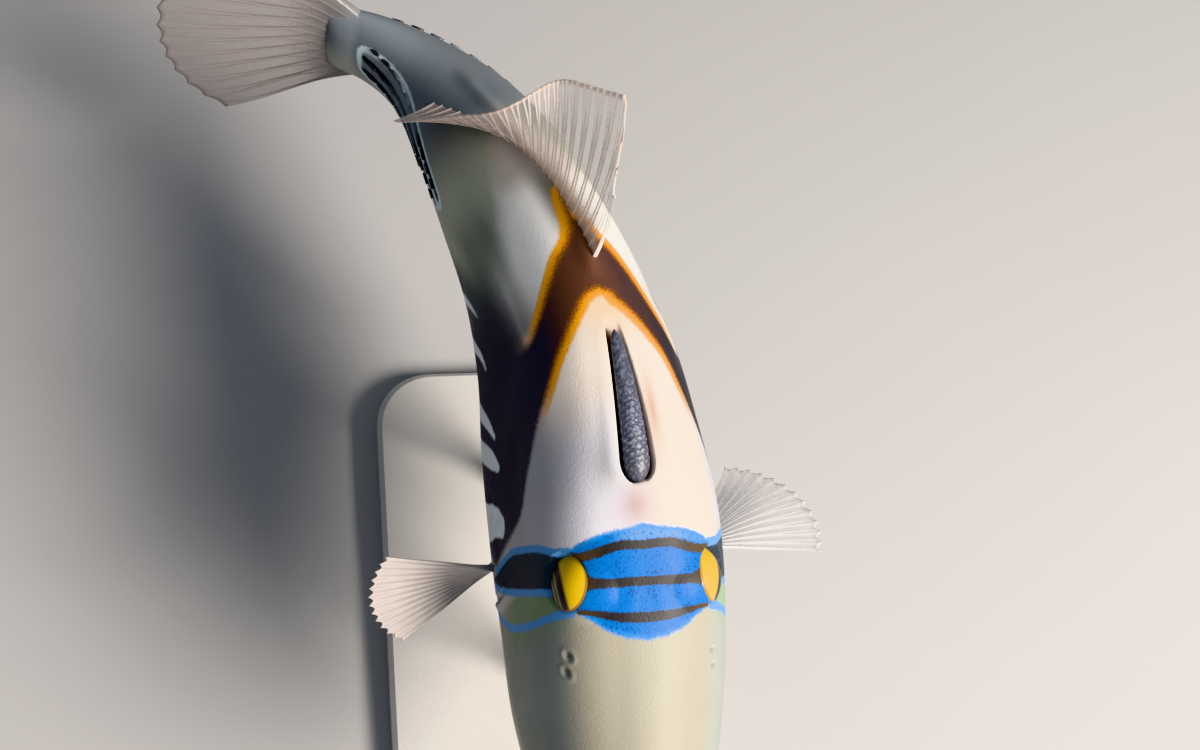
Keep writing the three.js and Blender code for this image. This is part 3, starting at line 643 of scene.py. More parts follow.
def bodyMesh():
    x, y, z = bodyGrid()
    w = roundLength(y, z)
    points = closeSkin(shapeSkin(x, y, z), x)
    marks = skinMarks(x, w, z)
    marks["tone"] = skinTones(x, w, z)
    marks["darkTone"] = darkTones(x, w)
    # depth of the groove, which sets how much painted shade it takes
    marks["pit"] = grooveForm(x, y, z)[0] / skin["groove"][4]
    marks["across"] = y
    marks["soft"] = ease((np.abs(w) - 17) / 5) * ease((x - 100) / 4)
    marks["scaly"] = 0.6 * ease((x - 98) / 14) * ease((np.abs(w) - 4) / 4) + 0.3 * ease((np.abs(w) - 20) / 8)
    front, rear = len(skin["mouthEnd"]), len(skin["stalkEnd"])
    for key, m in marks.items():
        marks[key] = np.concatenate([np.repeat(m[:1], front, 0), m, np.repeat(m[-1:], rear, 0)])
    return addMesh("body_skin", *tubeGrid(points), tubeMarks(marks))


paint = {
    "blue": "#0060aa",
    "blueDeep": "#04346f",
    "edge": "#2f84cf",
    "periwinkle": "#4f82bb",
    "band": "#2e2b2b",
    "bandPale": "#493d30",
    "cheekBlue": "#5c93cc",
    "bar": "#2c363f",
    "orange": "#f2a20c",
    "orangeDeep": "#a5600c",
    "white": "#dfe6ea",
    "patch": "#c9dce2",
    "patchGrey": "#7c858d",
    "row": "#121216",
    "stripe": "#d98e1e",
    "scaleWide": 2.8,  # rhomb scales of the trunk
    "granule": 0.42,  # bony grains on each scale
    "grain": 0.588,  # fine unevenness that roughens every edge
    "mist": 0.3125,  # droplets of the sprayed edges
    "mottle": 11.1,  # broad cloudiness of the ground colour
    "stipple": 0.62,  # navy dots on the blue; the real ones are finer, and are drawn this coarse to show
    "greyFrom": (166, 172),  # middle of the stalk patch, where its rows are greyer
    "greyTo": (184, 188),
}


def greyZone(tree, along, most):  # share of grey in the middle of the stalk patch
    start, end = paint["greyFrom"], paint["greyTo"]
    rise = add(tree, "MapRange", along, start[0], start[1], 0, most)
    return add(tree, "Math", rise, add(tree, "MapRange", along, end[1], end[0]), operation="MULTIPLY")


def skinMaterial():
    # fish skin, cast and airbrushed under satin varnish: fine bony grain, soft sheen, sprayed edges
    made, tree, where = startMaterial("varnished fish skin")
    fine, broad, mist = [add(tree, "TexNoise", Vector=where, Scale=scaleFor(paint[size]), Detail=detail)
                         for size, detail in (("grain", 3), ("mottle", 4), ("mist", 2))]
    jitter = add(tree, "Math", fine, 0.7, -0.35, operation="MULTIPLY_ADD")
    spray = add(tree, "Math", mist, 2.2, -1.1, operation="MULTIPLY_ADD")
    mark = {name: add(tree, "Attribute", attribute_name=name) for name in (
        "along", "round", "across", "dark", "soft", "whiteBars", "cheekBar", "cheekLines", "saddle", "bands",
        "patch", "rows", "stripe", "pit", "scaly")}
    rough = {name: add(tree, "Math", mark[name], jitter, operation="ADD") for name in (
        "dark", "whiteBars", "cheekBar", "cheekLines", "saddle", "bands", "patch", "rows", "stripe")}
    ground, darkTone = [add(tree, "Attribute", attribute_name=name, read="Color")
                        for name in ("tone", "darkTone")]
    along, round = mark["along"], mark["round"]
    fromBack = add(tree, "Math", round, operation="ABSOLUTE")

    # brown and black field with its orange margin: sprayed on the back, fading softly low on the flank
    sprayed = add(tree, "Math", mark["dark"], spray, operation="ADD")
    onBack = add(tree, "Math", add(tree, "MapRange", fromBack, 21, 13), add(tree, "MapRange", along, 80, 90),
                 operation="MULTIPLY")
    margin = add(tree, "Math", add(tree, "MapRange", rough["dark"], -1.5, -0.5), onBack, operation="MULTIPLY")
    deepMargin = add(tree, "Math", add(tree, "MapRange", sprayed, -0.5, 1.4), onBack, operation="MULTIPLY")
    fadeFrom = add(tree, "Math", mark["soft"], -7.5, 0.1, operation="MULTIPLY_ADD")
    fadeTo = add(tree, "Math", mark["soft"], 2, 2, operation="MULTIPLY_ADD")
    field = add(tree, "MapRange", sprayed, fadeFrom, fadeTo)
    bars = add(tree, "Math", add(tree, "MapRange", rough["whiteBars"], -0.4, 0.4),
               add(tree, "MapRange", rough["dark"], -2.5, 1), operation="MULTIPLY")

    # blue saddle between the eyes: softer behind, brighter at its rim, with navy dots and three bands
    behind = add(tree, "Math", add(tree, "MapRange", along, 61.5, 63.6), add(tree, "MapRange", round, -7, -2),
                 operation="MULTIPLY")
    rim = add(tree, "MapRange", mark["saddle"], 1.2, 0.1, 0, 0.8)
    skinPlane = add(tree, "CombineXYZ", along, round)
    dots = add(tree, "TexVoronoi", Vector=skinPlane, Scale=1 / paint["stipple"], Randomness=0.9)
    dots = add(tree, "Math", add(tree, "MapRange", dots, 0.5, 0.2, 0, 0.7),
               add(tree, "MapRange", broad, 0.35, 0.6, 0.5, 1), operation="MULTIPLY")
    blue = linear(paint["blue"])
    for share, name in ((behind, "periwinkle"), (rim, "edge"), (dots, "blueDeep")):
        blue = add(tree, "Mix", share, blue, linear(paint[name]))
    bands = add(tree, "Math", add(tree, "MapRange", rough["bands"], -0.2, 0.15),
                add(tree, "MapRange", rough["saddle"], -0.8, 0.2), operation="MULTIPLY")
    nearEye = add(tree, "MapRange", fromBack, 6.5, 10.5)
    bandTone = add(tree, "Mix", nearEye, linear(paint["band"]), linear(paint["bandPale"]))

    # stalk patch with its black rows, grey in the middle
    grey = add(tree, "Math", add(tree, "MapRange", along, 164, 172),
               add(tree, "MapRange", mark["patch"], 0.8, 2), operation="MULTIPLY")
    patchTone = add(tree, "Mix", grey, linear(paint["patch"]), linear(paint["patchGrey"]))
    rows = add(tree, "Math", add(tree, "MapRange", rough["rows"], -0.3, 0.2),
               add(tree, "MapRange", mark["patch"], 0.6, 1.2), operation="MULTIPLY")
    blackLeft = add(tree, "Math", 1, greyZone(tree, along, 0.6), operation="SUBTRACT")
    rows = add(tree, "Math", rows, blackLeft, operation="MULTIPLY")

    # painted shade in the spine's groove: brown on the fish's left wall, dark on its right
    onLeft = add(tree, "MapRange", mark["across"], -1.5, 1.5)
    grooveShade = add(tree, "Mix", onLeft, linear(tones["grooveShadeDark"]), linear(tones["grooveShadeBrown"]))

    # scales: two crossing rows of faint grooves, with grains between them
    wide = paint["scaleWide"]
    backSteps, roundSteps = [add(tree, "Math", place, size, operation="DIVIDE")
                             for place, size in ((along, wide), (round, wide * 0.8))]
    lines = []
    for kind in ("ADD", "SUBTRACT"):
        slant = add(tree, "Math", backSteps, roundSteps, operation=kind)
        within = add(tree, "Math", add(tree, "Math", slant, operation="FRACT"), 0.5, operation="SUBTRACT")
        lines.append(add(tree, "Math", within, operation="ABSOLUTE"))
    groove = add(tree, "MapRange", add(tree, "Math", *lines, operation="MAXIMUM"), 0.4, 0.49)
    groove = add(tree, "Math", groove, mark["scaly"], operation="MULTIPLY")
    grains = add(tree, "TexVoronoi", Vector=where, Scale=scaleFor(paint["granule"]))
    relief = add(tree, "Math", fine, 0.3, operation="MULTIPLY")
    for form, height in ((grains, -0.3), (groove, -0.28)):
        relief = add(tree, "Math", form, height, relief, operation="MULTIPLY_ADD")

    layers = (  # share and colour of each layer of paint, over the last
        (add(tree, "MapRange", broad, 0.4, 0.75, 0, 0.14), linear("#8a7f70")),
        (margin, linear(paint["orange"])),
        (deepMargin, linear(paint["orangeDeep"])),
        (field, darkTone),
        (bars, linear(paint["white"])),
        (add(tree, "MapRange", rough["cheekBar"], -0.2, 0.2), linear(paint["bar"])),
        (add(tree, "MapRange", rough["cheekLines"], -0.25, 0.2), linear(paint["cheekBlue"])),
        (add(tree, "MapRange", rough["saddle"], -0.45, 0.35), blue),
        (bands, bandTone),
        (add(tree, "MapRange", rough["patch"], -0.4, 0.3), patchTone),
        (rows, linear(paint["row"])),
        (add(tree, "MapRange", rough["stripe"], -0.6, 0.3), linear(paint["stripe"])),
        # painted shade down in the spine's groove
        (add(tree, "MapRange", mark["pit"], 0.03, 0.5), grooveShade),
        (add(tree, "Math", groove, 0.07, operation="MULTIPLY"), linear("#3a3430")),
    )
    colour = ground
    for share, tone in layers:
        colour = add(tree, "Mix", share, colour, tone)
    return finishMaterial(made, {
        "Base Color": colour,
        "Normal": add(tree, "Bump", Height=relief, Distance=0.00012, Strength=0.6),
        "Roughness": add(tree, "MapRange", broad, 0.3, 0.7, 0.42, 0.54),
        "Specular IOR Level": 0.24,
    })


finishPiece(bodyMesh(), skinMaterial(), "trunk_skin", "head", "trunk", "tail_stalk")

# Eyes
print("eyes")
eyes = {
    "columns": 96,
    "rows": 64,
    "pupil": (-14, -7),  # degrees: how high its middle is, and how far back
    "rings": (20, 23, 33, 36, 50),  # degrees from it: pupil edge, gold edge, olive iris, gold line, yellow
    "yellow": "#cfa900",
    "cream": "#cdb98f",
    "orange": "#8a6528",
    "black": "#14171b",
    "gold": "#8f8a48",
    "olive": "#353b2c",
    "fleck": 1.43,  # flecks in the yellow
}


def eyeMesh(side):
    # sphere with its pole on the look axis: look cos p + (back cos q + up sin q) sin p
    centre, look, back, up = eyeFrame(side)
    p, q = np.meshgrid(np.linspace(0.02, np.pi - 0.02, eyes["rows"]),
                       np.linspace(0, 2 * np.pi, eyes["columns"], endpoint=False), indexing="ij")
    way = (look * np.cos(p)[..., None] + back * (np.sin(p) * np.cos(q))[..., None]
           + up * (np.sin(p) * np.sin(q))[..., None])
    level = unit(np.array([look[0], look[1], 0]))
    high, rear = np.radians(eyes["pupil"])
    axis = level * math.cos(high) * math.cos(rear) + back * math.sin(rear) + np.array([0, 0, math.sin(high)])
    marks = {
        "fromPupil": np.degrees(np.arccos(np.clip(way @ unit(axis), -1, 1))),
        "fromLook": np.degrees(p),
        "ahead": (way * -back).sum(-1),
    }
    name = "eye_" + ("left" if side > 0 else "right") + "_ball"
    return addMesh(name, *tubeGrid(centre + way * skin["eyeRadius"]), tubeMarks(marks))


def eyeMaterial():
    # glass museum eye: painted iris under a clear polished face
    made, tree, where = startMaterial("painted glass eye")
    noise = add(tree, "TexNoise", Vector=where, Scale=scaleFor(eyes["fleck"]), Detail=3)
    away, ahead, fromLook = [add(tree, "Attribute", attribute_name=name)
                             for name in ("fromPupil", "ahead", "fromLook")]
    paler = add(tree, "MapRange", ahead, 0.56, 0.82)
    yellow = add(tree, "Mix", paler, linear(eyes["yellow"]), linear(eyes["cream"]))
    yellow = add(tree, "Mix", add(tree, "MapRange", noise, 0.4, 0.75, 0, 0.3), yellow, linear("#d9a406"))
    pupilEdge, goldEdge, irisEdge, lineEdge, yellowEdge = eyes["rings"]
    rings = (  # mark, from, to, and the colour past it
        (away, pupilEdge - 1, pupilEdge + 1, linear(eyes["gold"])),
        (away, goldEdge - 1, goldEdge + 1, linear(eyes["olive"])),
        (away, irisEdge - 1, irisEdge + 1, linear(eyes["gold"])),
        (away, lineEdge - 1, lineEdge + 1, linear(eyes["black"])),
        (away, yellowEdge - 3, yellowEdge + 1, linear(eyes["orange"])),
        (away, yellowEdge, yellowEdge + 4, yellow),
        (fromLook, 42, 45, linear(eyes["orange"])),
    )
    colour = linear(eyes["black"])
    for mark, start, end, tone in rings:
        colour = add(tree, "Mix", add(tree, "MapRange", mark, start, end), colour, tone)
    return finishMaterial(made, {"Base Color": colour, "Roughness": 0.45, "Specular IOR Level": 0.3,
                                 "Coat Weight": 0.3, "Coat Roughness": 0.04})


eyeGlass = eyeMaterial()
for side, name in ((1, "eye_left"), (-1, "eye_right")):
    finishPiece(eyeMesh(side), eyeGlass, "eye", name)

# Lips and teeth
print("mouth")
mouth = {
    "half": 5.6,
    "at": 3.2,
    "setback": 0.6,
    "rise": 3.6,
    "corner": 1.35,
    "radius": 2.75,
    "cornerRadius": 1.25,
    "teeth": 4,
    "toothWide": 1.05,
    "toothStep": 1.17,
    "toothLong": 1.3,
    "toothAt": 2.3,
    "wrinkle": 0.91,  # creases of the lips
    "streak": 0.67,  # streaks of the enamel
}


def lipMesh(side):
    # roll with centre (at + setback t^2, half t, corner to rise by (1 - t^2)^0.55), radius by that share too
    t, k = np.meshgrid(np.sin(np.linspace(-np.pi / 2, np.pi / 2, 60)) * 0.998,
                       np.linspace(0, 2 * np.pi, 44, endpoint=False), indexing="ij")
    bow = (1 - t * t) ** 0.55
    crease = 1 - 0.05 * np.cos(9 * np.pi * t) * bow * np.exp(-((k - 1.5) ** 2))
    r = mix(mouth["cornerRadius"], mouth["radius"], bow) * crease
    tilt = np.arctan2(-2 * t * (mouth["rise"] - mouth["corner"]) * side, mouth["half"])
    rings = bend(mouth["at"] + mouth["setback"] * t * t + 0.5 - r * np.sin(k),
                 mouth["half"] * t - np.sin(tilt) * r * np.cos(k),
                 side * mix(mouth["corner"], mouth["rise"], bow) + np.cos(tilt) * r * np.cos(k))
    name = "upper_lip_roll" if side > 0 else "lower_lip_roll"
    return addMesh(name, *tubeGrid(rings), tubeMarks({"roll": np.cos(k) * side}))


def teethMesh():
    # each tooth is a box with rounded corners: x, y and z follow sign(s) |s|^0.4 of a sphere's
    p, q = np.meshgrid(np.linspace(0.05, np.pi - 0.05, 12), np.linspace(0, 2 * np.pi, 16, endpoint=False),
                       indexing="ij")
    ball = np.stack([np.sin(p) * np.cos(q), np.sin(p) * np.sin(q), np.cos(p)], -1)
    box = np.sign(ball) * np.abs(ball) ** 0.4
    long = mouth["toothLong"]
    local = box * np.array([0.9, mouth["toothWide"] / 2, long / 2])
    parts = []
    for side in (1, -1):
        chisel = 1 - 0.35 * (0.5 - 0.5 * side * box[..., 2])
        for i in range(mouth["teeth"]):
            y = (i - (mouth["teeth"] - 1) / 2) * mouth["toothStep"]
            parts.append(tubeGrid(bend(mouth["toothAt"] + 0.9 + local[..., 0] * chisel, y + local[..., 1],
                                       side * (long / 2 + 0.1) + local[..., 2])))
    return addMesh("teeth", *joined(parts))


def lipMaterial():
    # soft lip skin cast in resin: dull ochre with a paler inner edge and fine creases
    made, tree, where = startMaterial("varnished lip skin")
    noise = add(tree, "TexNoise", Vector=where, Scale=scaleFor(mouth["wrinkle"]), Detail=4)
    inner = add(tree, "MapRange", add(tree, "Attribute", attribute_name="roll"), -0.2, 0.7)
    colour = add(tree, "Mix", inner, linear("#d9a441"), linear("#c5a878"))
    colour = add(tree, "Mix", add(tree, "MapRange", noise, 0.45, 0.7, 0, 0.35), colour, linear("#8a6a3c"))
    bump = add(tree, "Bump", Height=noise, Distance=0.0002, Strength=0.6)
    return finishMaterial(made, {"Base Color": colour, "Normal": bump, "Roughness": 0.4, "IOR": 1.45,
                                 "Coat Weight": 0.2, "Coat Roughness": 0.2})


def toothMaterial():
    # enamel: off-white, smooth and glossy, with faint streaks along each tooth
    made, tree, where = startMaterial("tooth enamel")
    noise = add(tree, "TexNoise", Vector=where, Scale=scaleFor(mouth["streak"]))
    colour = add(tree, "Mix", noise, linear("#e9e1cd"), linear("#cdbf9f"))
    return finishMaterial(made, {"Base Color": colour, "Roughness": 0.22, "IOR": 1.6})


lipSkin = lipMaterial()
for side, name in ((1, "upper_lip"), (-1, "lower_lip")):
    finishPiece(lipMesh(side), lipSkin, "lip_skin", name)
finishPiece(teethMesh(), toothMaterial(), "head_skin")

# Spines
print("spines")
trigger = {"from": 72.4, "length": 26.5, "half": 2.4, "depth": 4.4, "proud": 0.9, "grain": 0.55, "blotch": 1}
pelvic = {"at": 98, "length": 9, "radius": 1.8, "rake": 0.95}
thorns = {"from": 155, "step": 3.9, "count": 11, "long": 1.9, "radius": 0.48, "streak": 1.11}


def triggerMesh():
    # blade with half width half sqrt(1 - 0.93 t^1.6), rounded at the root and tip, knobbed by crossed sines
    t, k = np.meshgrid(np.linspace(0, 1, 160), np.linspace(0, 2 * np.pi, 56, endpoint=False), indexing="ij")
    x = trigger["from"] + trigger["length"] * t
    rootRound = np.sqrt(1 - (1 - np.minimum(t / 0.14, 1)) ** 2)
    tipRound = np.sqrt(1 - np.clip((t - 0.9) / 0.1, 0, 1) ** 2)
    slim = np.sqrt(1 - 0.93 * t**1.6) * rootRound * tipRound
    knobs = 0.5 + 0.5 * np.sin(x * 5.2 + 2.2 * np.sin(k * 2)) * np.sin(k * 7 + x * 0.9)
    knobs = knobs**2 * 0.13 * (1 - 0.6 * t) * (np.sin(k) > -0.6) * slim
    half = trigger["half"] * slim
    deep = trigger["depth"] / 2 * mix(1, 0.35, t) * mix(0.6, 1, rootRound)
    rise = topOf(x) + trigger["proud"] * mix(0.6, 1, t) - deep - 1.6 * (1 - rootRound)
    keel = 1 + 0.1 * np.maximum(0, np.sin(k)) ** 3
    rings = bend(x, (half - 0.1 * slim + knobs) * np.cos(k), rise + (deep - 0.2 + knobs) * np.sin(k) * keel)
    marks = {"knob": knobs, "near": ease((0.3 - t) / 0.3)}
    return addMesh("trigger_spine_blade", *tubeGrid(rings), tubeMarks(marks))


def pelvicMesh():
    # blunt knob with radius radius sqrt(1 - 0.86 t^2), ringed by small knobs
    t, k = np.meshgrid(np.linspace(0, 1, 60), np.linspace(0, 2 * np.pi, 40, endpoint=False), indexing="ij")
    reach = pelvic["length"] * t - 3
    knobs = 0.16 * (0.5 + 0.5 * np.sin(t * 40 + np.sin(k * 3))) * (0.5 + 0.5 * np.sin(k * 6 + t * 9))
    r = pelvic["radius"] * np.sqrt(1 - 0.86 * t * t) - 0.05 + knobs
    up = r * np.sin(k)
    lean = pelvic["rake"]
    rings = bend(pelvic["at"] + math.sin(lean) * reach + math.cos(lean) * up, r * 0.75 * np.cos(k),
                 bottomOf(np.float64(pelvic["at"])) - math.cos(lean) * reach + math.sin(lean) * up)
    return addMesh("pelvic_spine_knob", *tubeGrid(rings), tubeMarks({"knob": knobs}))


def flankFrame(x, z, side):  # skin point on a flank, with its outward normal and the ways forward and up
    def at(px, pz):
        return bend(px, side * flankAcross(px, pz), pz)

    forward = unit(at(x - 0.5, z) - at(x + 0.5, z))
    upward = unit(at(x, z + 0.5) - at(x, z - 0.5))
    return at(x, z), unit(np.cross(forward, upward)) * side, forward, upward


def thornMesh():
    # each thorn is a cone bent forward: centre = root + out s + 0.9 forward s^2, radius (1 - s)^0.8
    random = np.random.default_rng(11)
    s, k = np.meshgrid(np.linspace(0, 1, 7), np.linspace(0, 2 * np.pi, 10, endpoint=False), indexing="ij")
    parts, along = [], []
    for side in (1, -1):
        for number, row in enumerate(markings["thornRows"]):
            for i in range(3 if number == 2 else 0, thorns["count"]):
                x = np.float64(thorns["from"] + i * thorns["step"])
                size = 0.75 + 0.35 * math.sin(math.pi * (i + 1) / (thorns["count"] + 1))
                size += random.uniform(-0.06, 0.06)
                point, out, forward, upward = flankFrame(x, rowHigh(row, x), side)
                long = thorns["long"] * size
                core = point + out * (s * long - 0.5)[..., None] + forward * (0.9 * long * s * s)[..., None]
                r = thorns["radius"] * size * (1 - s) ** 0.8 + 0.05
                rings = core + forward * (3 * r * np.cos(k))[..., None] + upward * (r * np.sin(k))[..., None]
                parts.append(tubeGrid(rings))
                along.append(np.full(s.size + 2, x))
    return addMesh("stalk_thorns", *joined(parts), {"along": np.concatenate(along)})


def boneMaterial(name, low, high, near, shine):
    # bone of a spine: rough knobs with blotches, paler at the knob tops as a painted highlight, with its own
    # tone at the root, painted darker as shade
    made, tree, where = startMaterial(name)
    noise = add(tree, "TexNoise", Vector=where, Scale=scaleFor(trigger["blotch"]), Detail=5)
    grains = add(tree, "TexVoronoi", Vector=where, Scale=scaleFor(trigger["grain"]))
    knob, atRoot = [add(tree, "Attribute", attribute_name=mark) for mark in ("knob", "near")]
    # painted highlight on the knob tops, with real blotches
    highlightAndBlotch = add(tree, "Math", add(tree, "MapRange", knob, 0.03, 0.12),
                 add(tree, "MapRange", noise, 0.45, 0.7, 0, 0.5), operation="ADD")
    share = add(tree, "Math", highlightAndBlotch, 0.45, operation="MULTIPLY")
    colour = add(tree, "Mix", share, linear(low), linear(high))
    # painted shade at the root, against the strong light on it
    colour = add(tree, "Mix", add(tree, "Math", atRoot, 0.7, operation="MULTIPLY"), colour, linear(near))
    relief = add(tree, "Math", grains, -0.5, noise, operation="MULTIPLY_ADD")
    bump = add(tree, "Bump", Height=relief, Distance=0.0002, Strength=0.8)
    return finishMaterial(made, {"Base Color": colour, "Normal": bump, "Roughness": shine, "IOR": 1.5})


def thornMaterial():
    # horny black thorns, smooth and a little glossy, worn to grey in the middle of the patch
    made, tree, where = startMaterial("black horn")
    noise = add(tree, "TexNoise", Vector=where, Scale=scaleFor(thorns["streak"]), Detail=3)
    colour = add(tree, "Mix", add(tree, "MapRange", noise, 0.4, 0.8), linear("#0c0c0f"), linear("#33302e"))
    worn = greyZone(tree, add(tree, "Attribute", attribute_name="along"), 0.75)
    colour = add(tree, "Mix", worn, colour, linear(paint["patchGrey"]))
    return finishMaterial(made, {"Base Color": colour, "Roughness": 0.35, "IOR": 1.5})


# the second tone of each bone is the painted highlight of its knob tops
slateBone = boneMaterial("slate-grey spine bone", "#434654", "#a3adc0", "#4e5057", 0.42)
paleBone = boneMaterial("pale pelvic bone", "#8f8570", "#ddd5c4", "#ddd5c4", 0.55)
finishPiece(triggerMesh(), slateBone, "spine_bone", "trigger_spine")
finishPiece(pelvicMesh(), paleBone, "pelvic_bone", "pelvic_spine")
finishPiece(thornMesh(), thornMaterial(), "stalk_skin")

# Fins
print("fins")
fins = {
    "membrane": 0.36,
    "ray": 0.95,
    "rayWide": 0.3,
    "cloud": 2,  # cloudiness of the resin
    "dorsal": {"from": 113.5, "to": 173, "rays": 24, "height": 36.6, "rear": 14.8, "sink": 3,
               "lean": (0.3, -1.7), "sweep": (0.32, -0.22, 0.52)},  # front, rear, and curl at the tips
    "anal": {"from": 118, "to": 171, "rays": 22, "height": 25.6, "rear": 13.8, "sink": 3,
             "lean": (0.4, -0.1), "sweep": (0.9, 0.45, 0.2)},
    "tail": {"from": 200.3, "rays": 12, "length": 43, "spread": 0.62, "fleshy": 3.4},
    "pectoral": {"x": 72.6, "z": -8.6, "base": 3.6, "rays": 13, "length": 27.7, "sink": 2},
    # by side: where the first and last rays point, which root is the upper one, and the fan's cup
    "poses": {
        1: ((0.71, 0.58, -0.39), (-0.15, 0.99, 0.06), -1, 1.6),
        -1: ((0.08, 0.89, 0.43), (-0.63, 0.77, 0.16), 1, -1.8),
    },
}
finLooks = {
    # colours of ray, web, root and rear, then how solid the web is, where the root gives way to it, how solid
    # the rear is, and how streaked
    "back": ("#fdf0e6", "#ead6c6", "#f0cba8", "#d2beb6", 0.1, (0.04, 0.42), 0.6, 0.1),
    "under": ("#e6d9d0", "#cdb9ae", "#b9a596", "#cdb9ae", 0.25, (0.05, 0.4), 0.25, 0.1),
    "tail": ("#8d8583", "#857d7c", "#757879", "#857d7c", 0.34, (0.02, 0.45), 0.34, 0.3),
    # painted light and shade: the two pectorals are one resin, with colours and clearness set for the light
    # on each side, the right fin lying in the body's shadow
    "left": ("#eceaea", "#cfcaca", "#8d8a88", "#cfcaca", 0.16, (0.02, 0.2), 0.16, 0.6),
    "right": ("#c4bbb7", "#aea5a1", "#6d6f74", "#aea5a1", 0.6, (0.05, 0.2), 0.6, 0.5),
}


def rayLines(s, v, space, fork=0.45, spread=0.24):
    # bump over each whole s that parts in two past the fork: exp(-(away / wide)^2)
    part = spread * np.clip((v - fork) / (1 - fork), 0, 1) ** 1.2
    away = np.abs(np.abs(s - np.round(s)) - part) * space
    wide = fins["rayWide"] * mix(1.25, 0.7, v)
    return np.exp(-((away / wide) ** 2))


def finPlate(name, middle, s, v, extra=0.0, fork=0.45, bold=1.0):
    space = np.linalg.norm(np.gradient(middle, axis=0), axis=-1) / np.abs(np.gradient(s, axis=0))
    ridge = rayLines(s, v, space, fork)
    taper = mix(1, 0.45, v)
    stout = (fins["ray"] - fins["membrane"]) * bold
    half = (fins["membrane"] + stout * ridge * taper) / 2 * mix(1, 0.75, v**3) + extra
    points, faces = plateGrid(middle, half)
    segments = 0.5 + 0.5 * np.cos(v * 150)
    marks = {"rays": ridge, "out": v, "share": s / s.max(), "joints": segments}
    return addMesh(name, points, faces, {k: np.tile(np.asarray(m).ravel(), 2) for k, m in marks.items()})


def finGrid(rays, perRay, rows):
    s = np.linspace(0, rays - 1, (rays - 1) * perRay + 1)
    v = np.linspace(0, 1, rows)
    return np.meshgrid(s, v, indexing="ij")


def longFinMesh(name, fin, edgeOf, up):
    # each ray is a run of steps from the sunk root: back by sin(sweep), the rest sideways and up by the lean
    rows = 64
    s, v = finGrid(fin["rays"], 13, rows)
    u = s / (fin["rays"] - 1)
    first = mix(0.38, 1, ease(u / 0.1))
    notch = 1 - 0.04 * np.abs(np.sin(np.pi * s)) * ease((v - 0.8) / 0.2)
    tall = mix(fin["height"], fin["rear"], np.sqrt(u)) * first * notch + fin["sink"]
    front, rear = fin["lean"]
    lean = front * (1 - ease(u / 0.45)) + rear * ease((u - 0.31) / 0.9)
    front, rear, curl = fin["sweep"]
    sweep = mix(front, rear, ease((u - 0.25) / 0.4)) + curl * (v - 0.4)
    stride = tall / (rows - 1)

    def run(step):  # running sum of the steps, starting at 0
        return np.concatenate([np.zeros((len(step), 1)), np.cumsum(step[:, :-1], 1)], 1)

    base = mix(fin["from"], fin["to"], u)
    x = base + run(stride * np.sin(sweep))
    y = run(stride * np.cos(sweep) * np.sin(lean))
    z = edgeOf(base) - up * fin["sink"] + up * run(stride * np.cos(sweep) * np.cos(lean))
    return finPlate(name, bend(x, y, z), s, v)


def tailFinMesh():
    # rays fan out by spread w (0.8 + 0.2 w^2), curled by (-2.2 sin(pi v) + 1.6 w^2 v) v
    fin = fins["tail"]
    s, v = finGrid(fin["rays"], 26, 60)
    w = 2 * s / (fin["rays"] - 1) - 1
    fan = fin["spread"] * w * (0.8 + 0.2 * w * w)
    notch = 1 - 0.02 * np.abs(np.sin(np.pi * s)) * ease((v - 0.85) / 0.15)
    long = fin["length"] * (1 - 0.12 * w * w) * notch
    root = np.where(w > 0, topOf(np.float64(200)), -bottomOf(np.float64(200)))
    curl = (-2.2 * np.sin(np.pi * v) + 1.6 * w * w * v) * v
    middle = bend(fin["from"] + long * v * np.cos(fan), curl, w * root * 0.98 + long * v * np.sin(fan))
    fleshy = fin["fleshy"] * (1 - ease(v / 0.42)) / 2 * np.sqrt(np.maximum(0, 1 - 0.9 * w**4))
    return finPlate("tail_fin_blade", middle, s, v, fleshy, 0.3, 0.35)


def pectoralMesh(side):
    # rays turn from the first way to the last about their common normal
    fin = fins["pectoral"]
    first, last, rootUp, cup = fins["poses"][side]
    first, last = unit(np.array(first)), unit(np.array(last))
    span = math.acos(first @ last)
    cross = unit(np.cross(first, last))
    s, v = finGrid(fin["rays"], 16, 52)
    u = s / (fin["rays"] - 1)
    way = (first * np.sin(span * (1 - u))[..., None] + last * np.sin(span * u)[..., None]) / math.sin(span)
    notch = 1 - 0.035 * np.abs(np.sin(np.pi * s)) * ease((v - 0.8) / 0.2)
    long = fin["length"] * (0.8 + 0.2 * np.sin(np.pi * (0.1 + 0.75 * u))) * notch
    reach = -fin["sink"] + (long + fin["sink"]) * v
    bow = cup * np.sin(np.pi * v) * np.sin(np.pi * u)
    root = rootUp * fin["base"] * (1 - 2 * u)
    across = flankAcross(np.float64(fin["x"]), np.float64(fin["z"]))
    middle = bend(fin["x"] - 0.3 * root + way[..., 0] * reach + cross[0] * bow,
                  side * (across + way[..., 1] * reach + cross[1] * bow),
                  fin["z"] + root + way[..., 2] * reach + cross[2] * bow)
    name = "pectoral_fan_" + ("left" if side > 0 else "right")
    return finPlate(name, middle, s, v, 0.5 * (1 - ease(v / 0.3)), 0.3, 0.4)


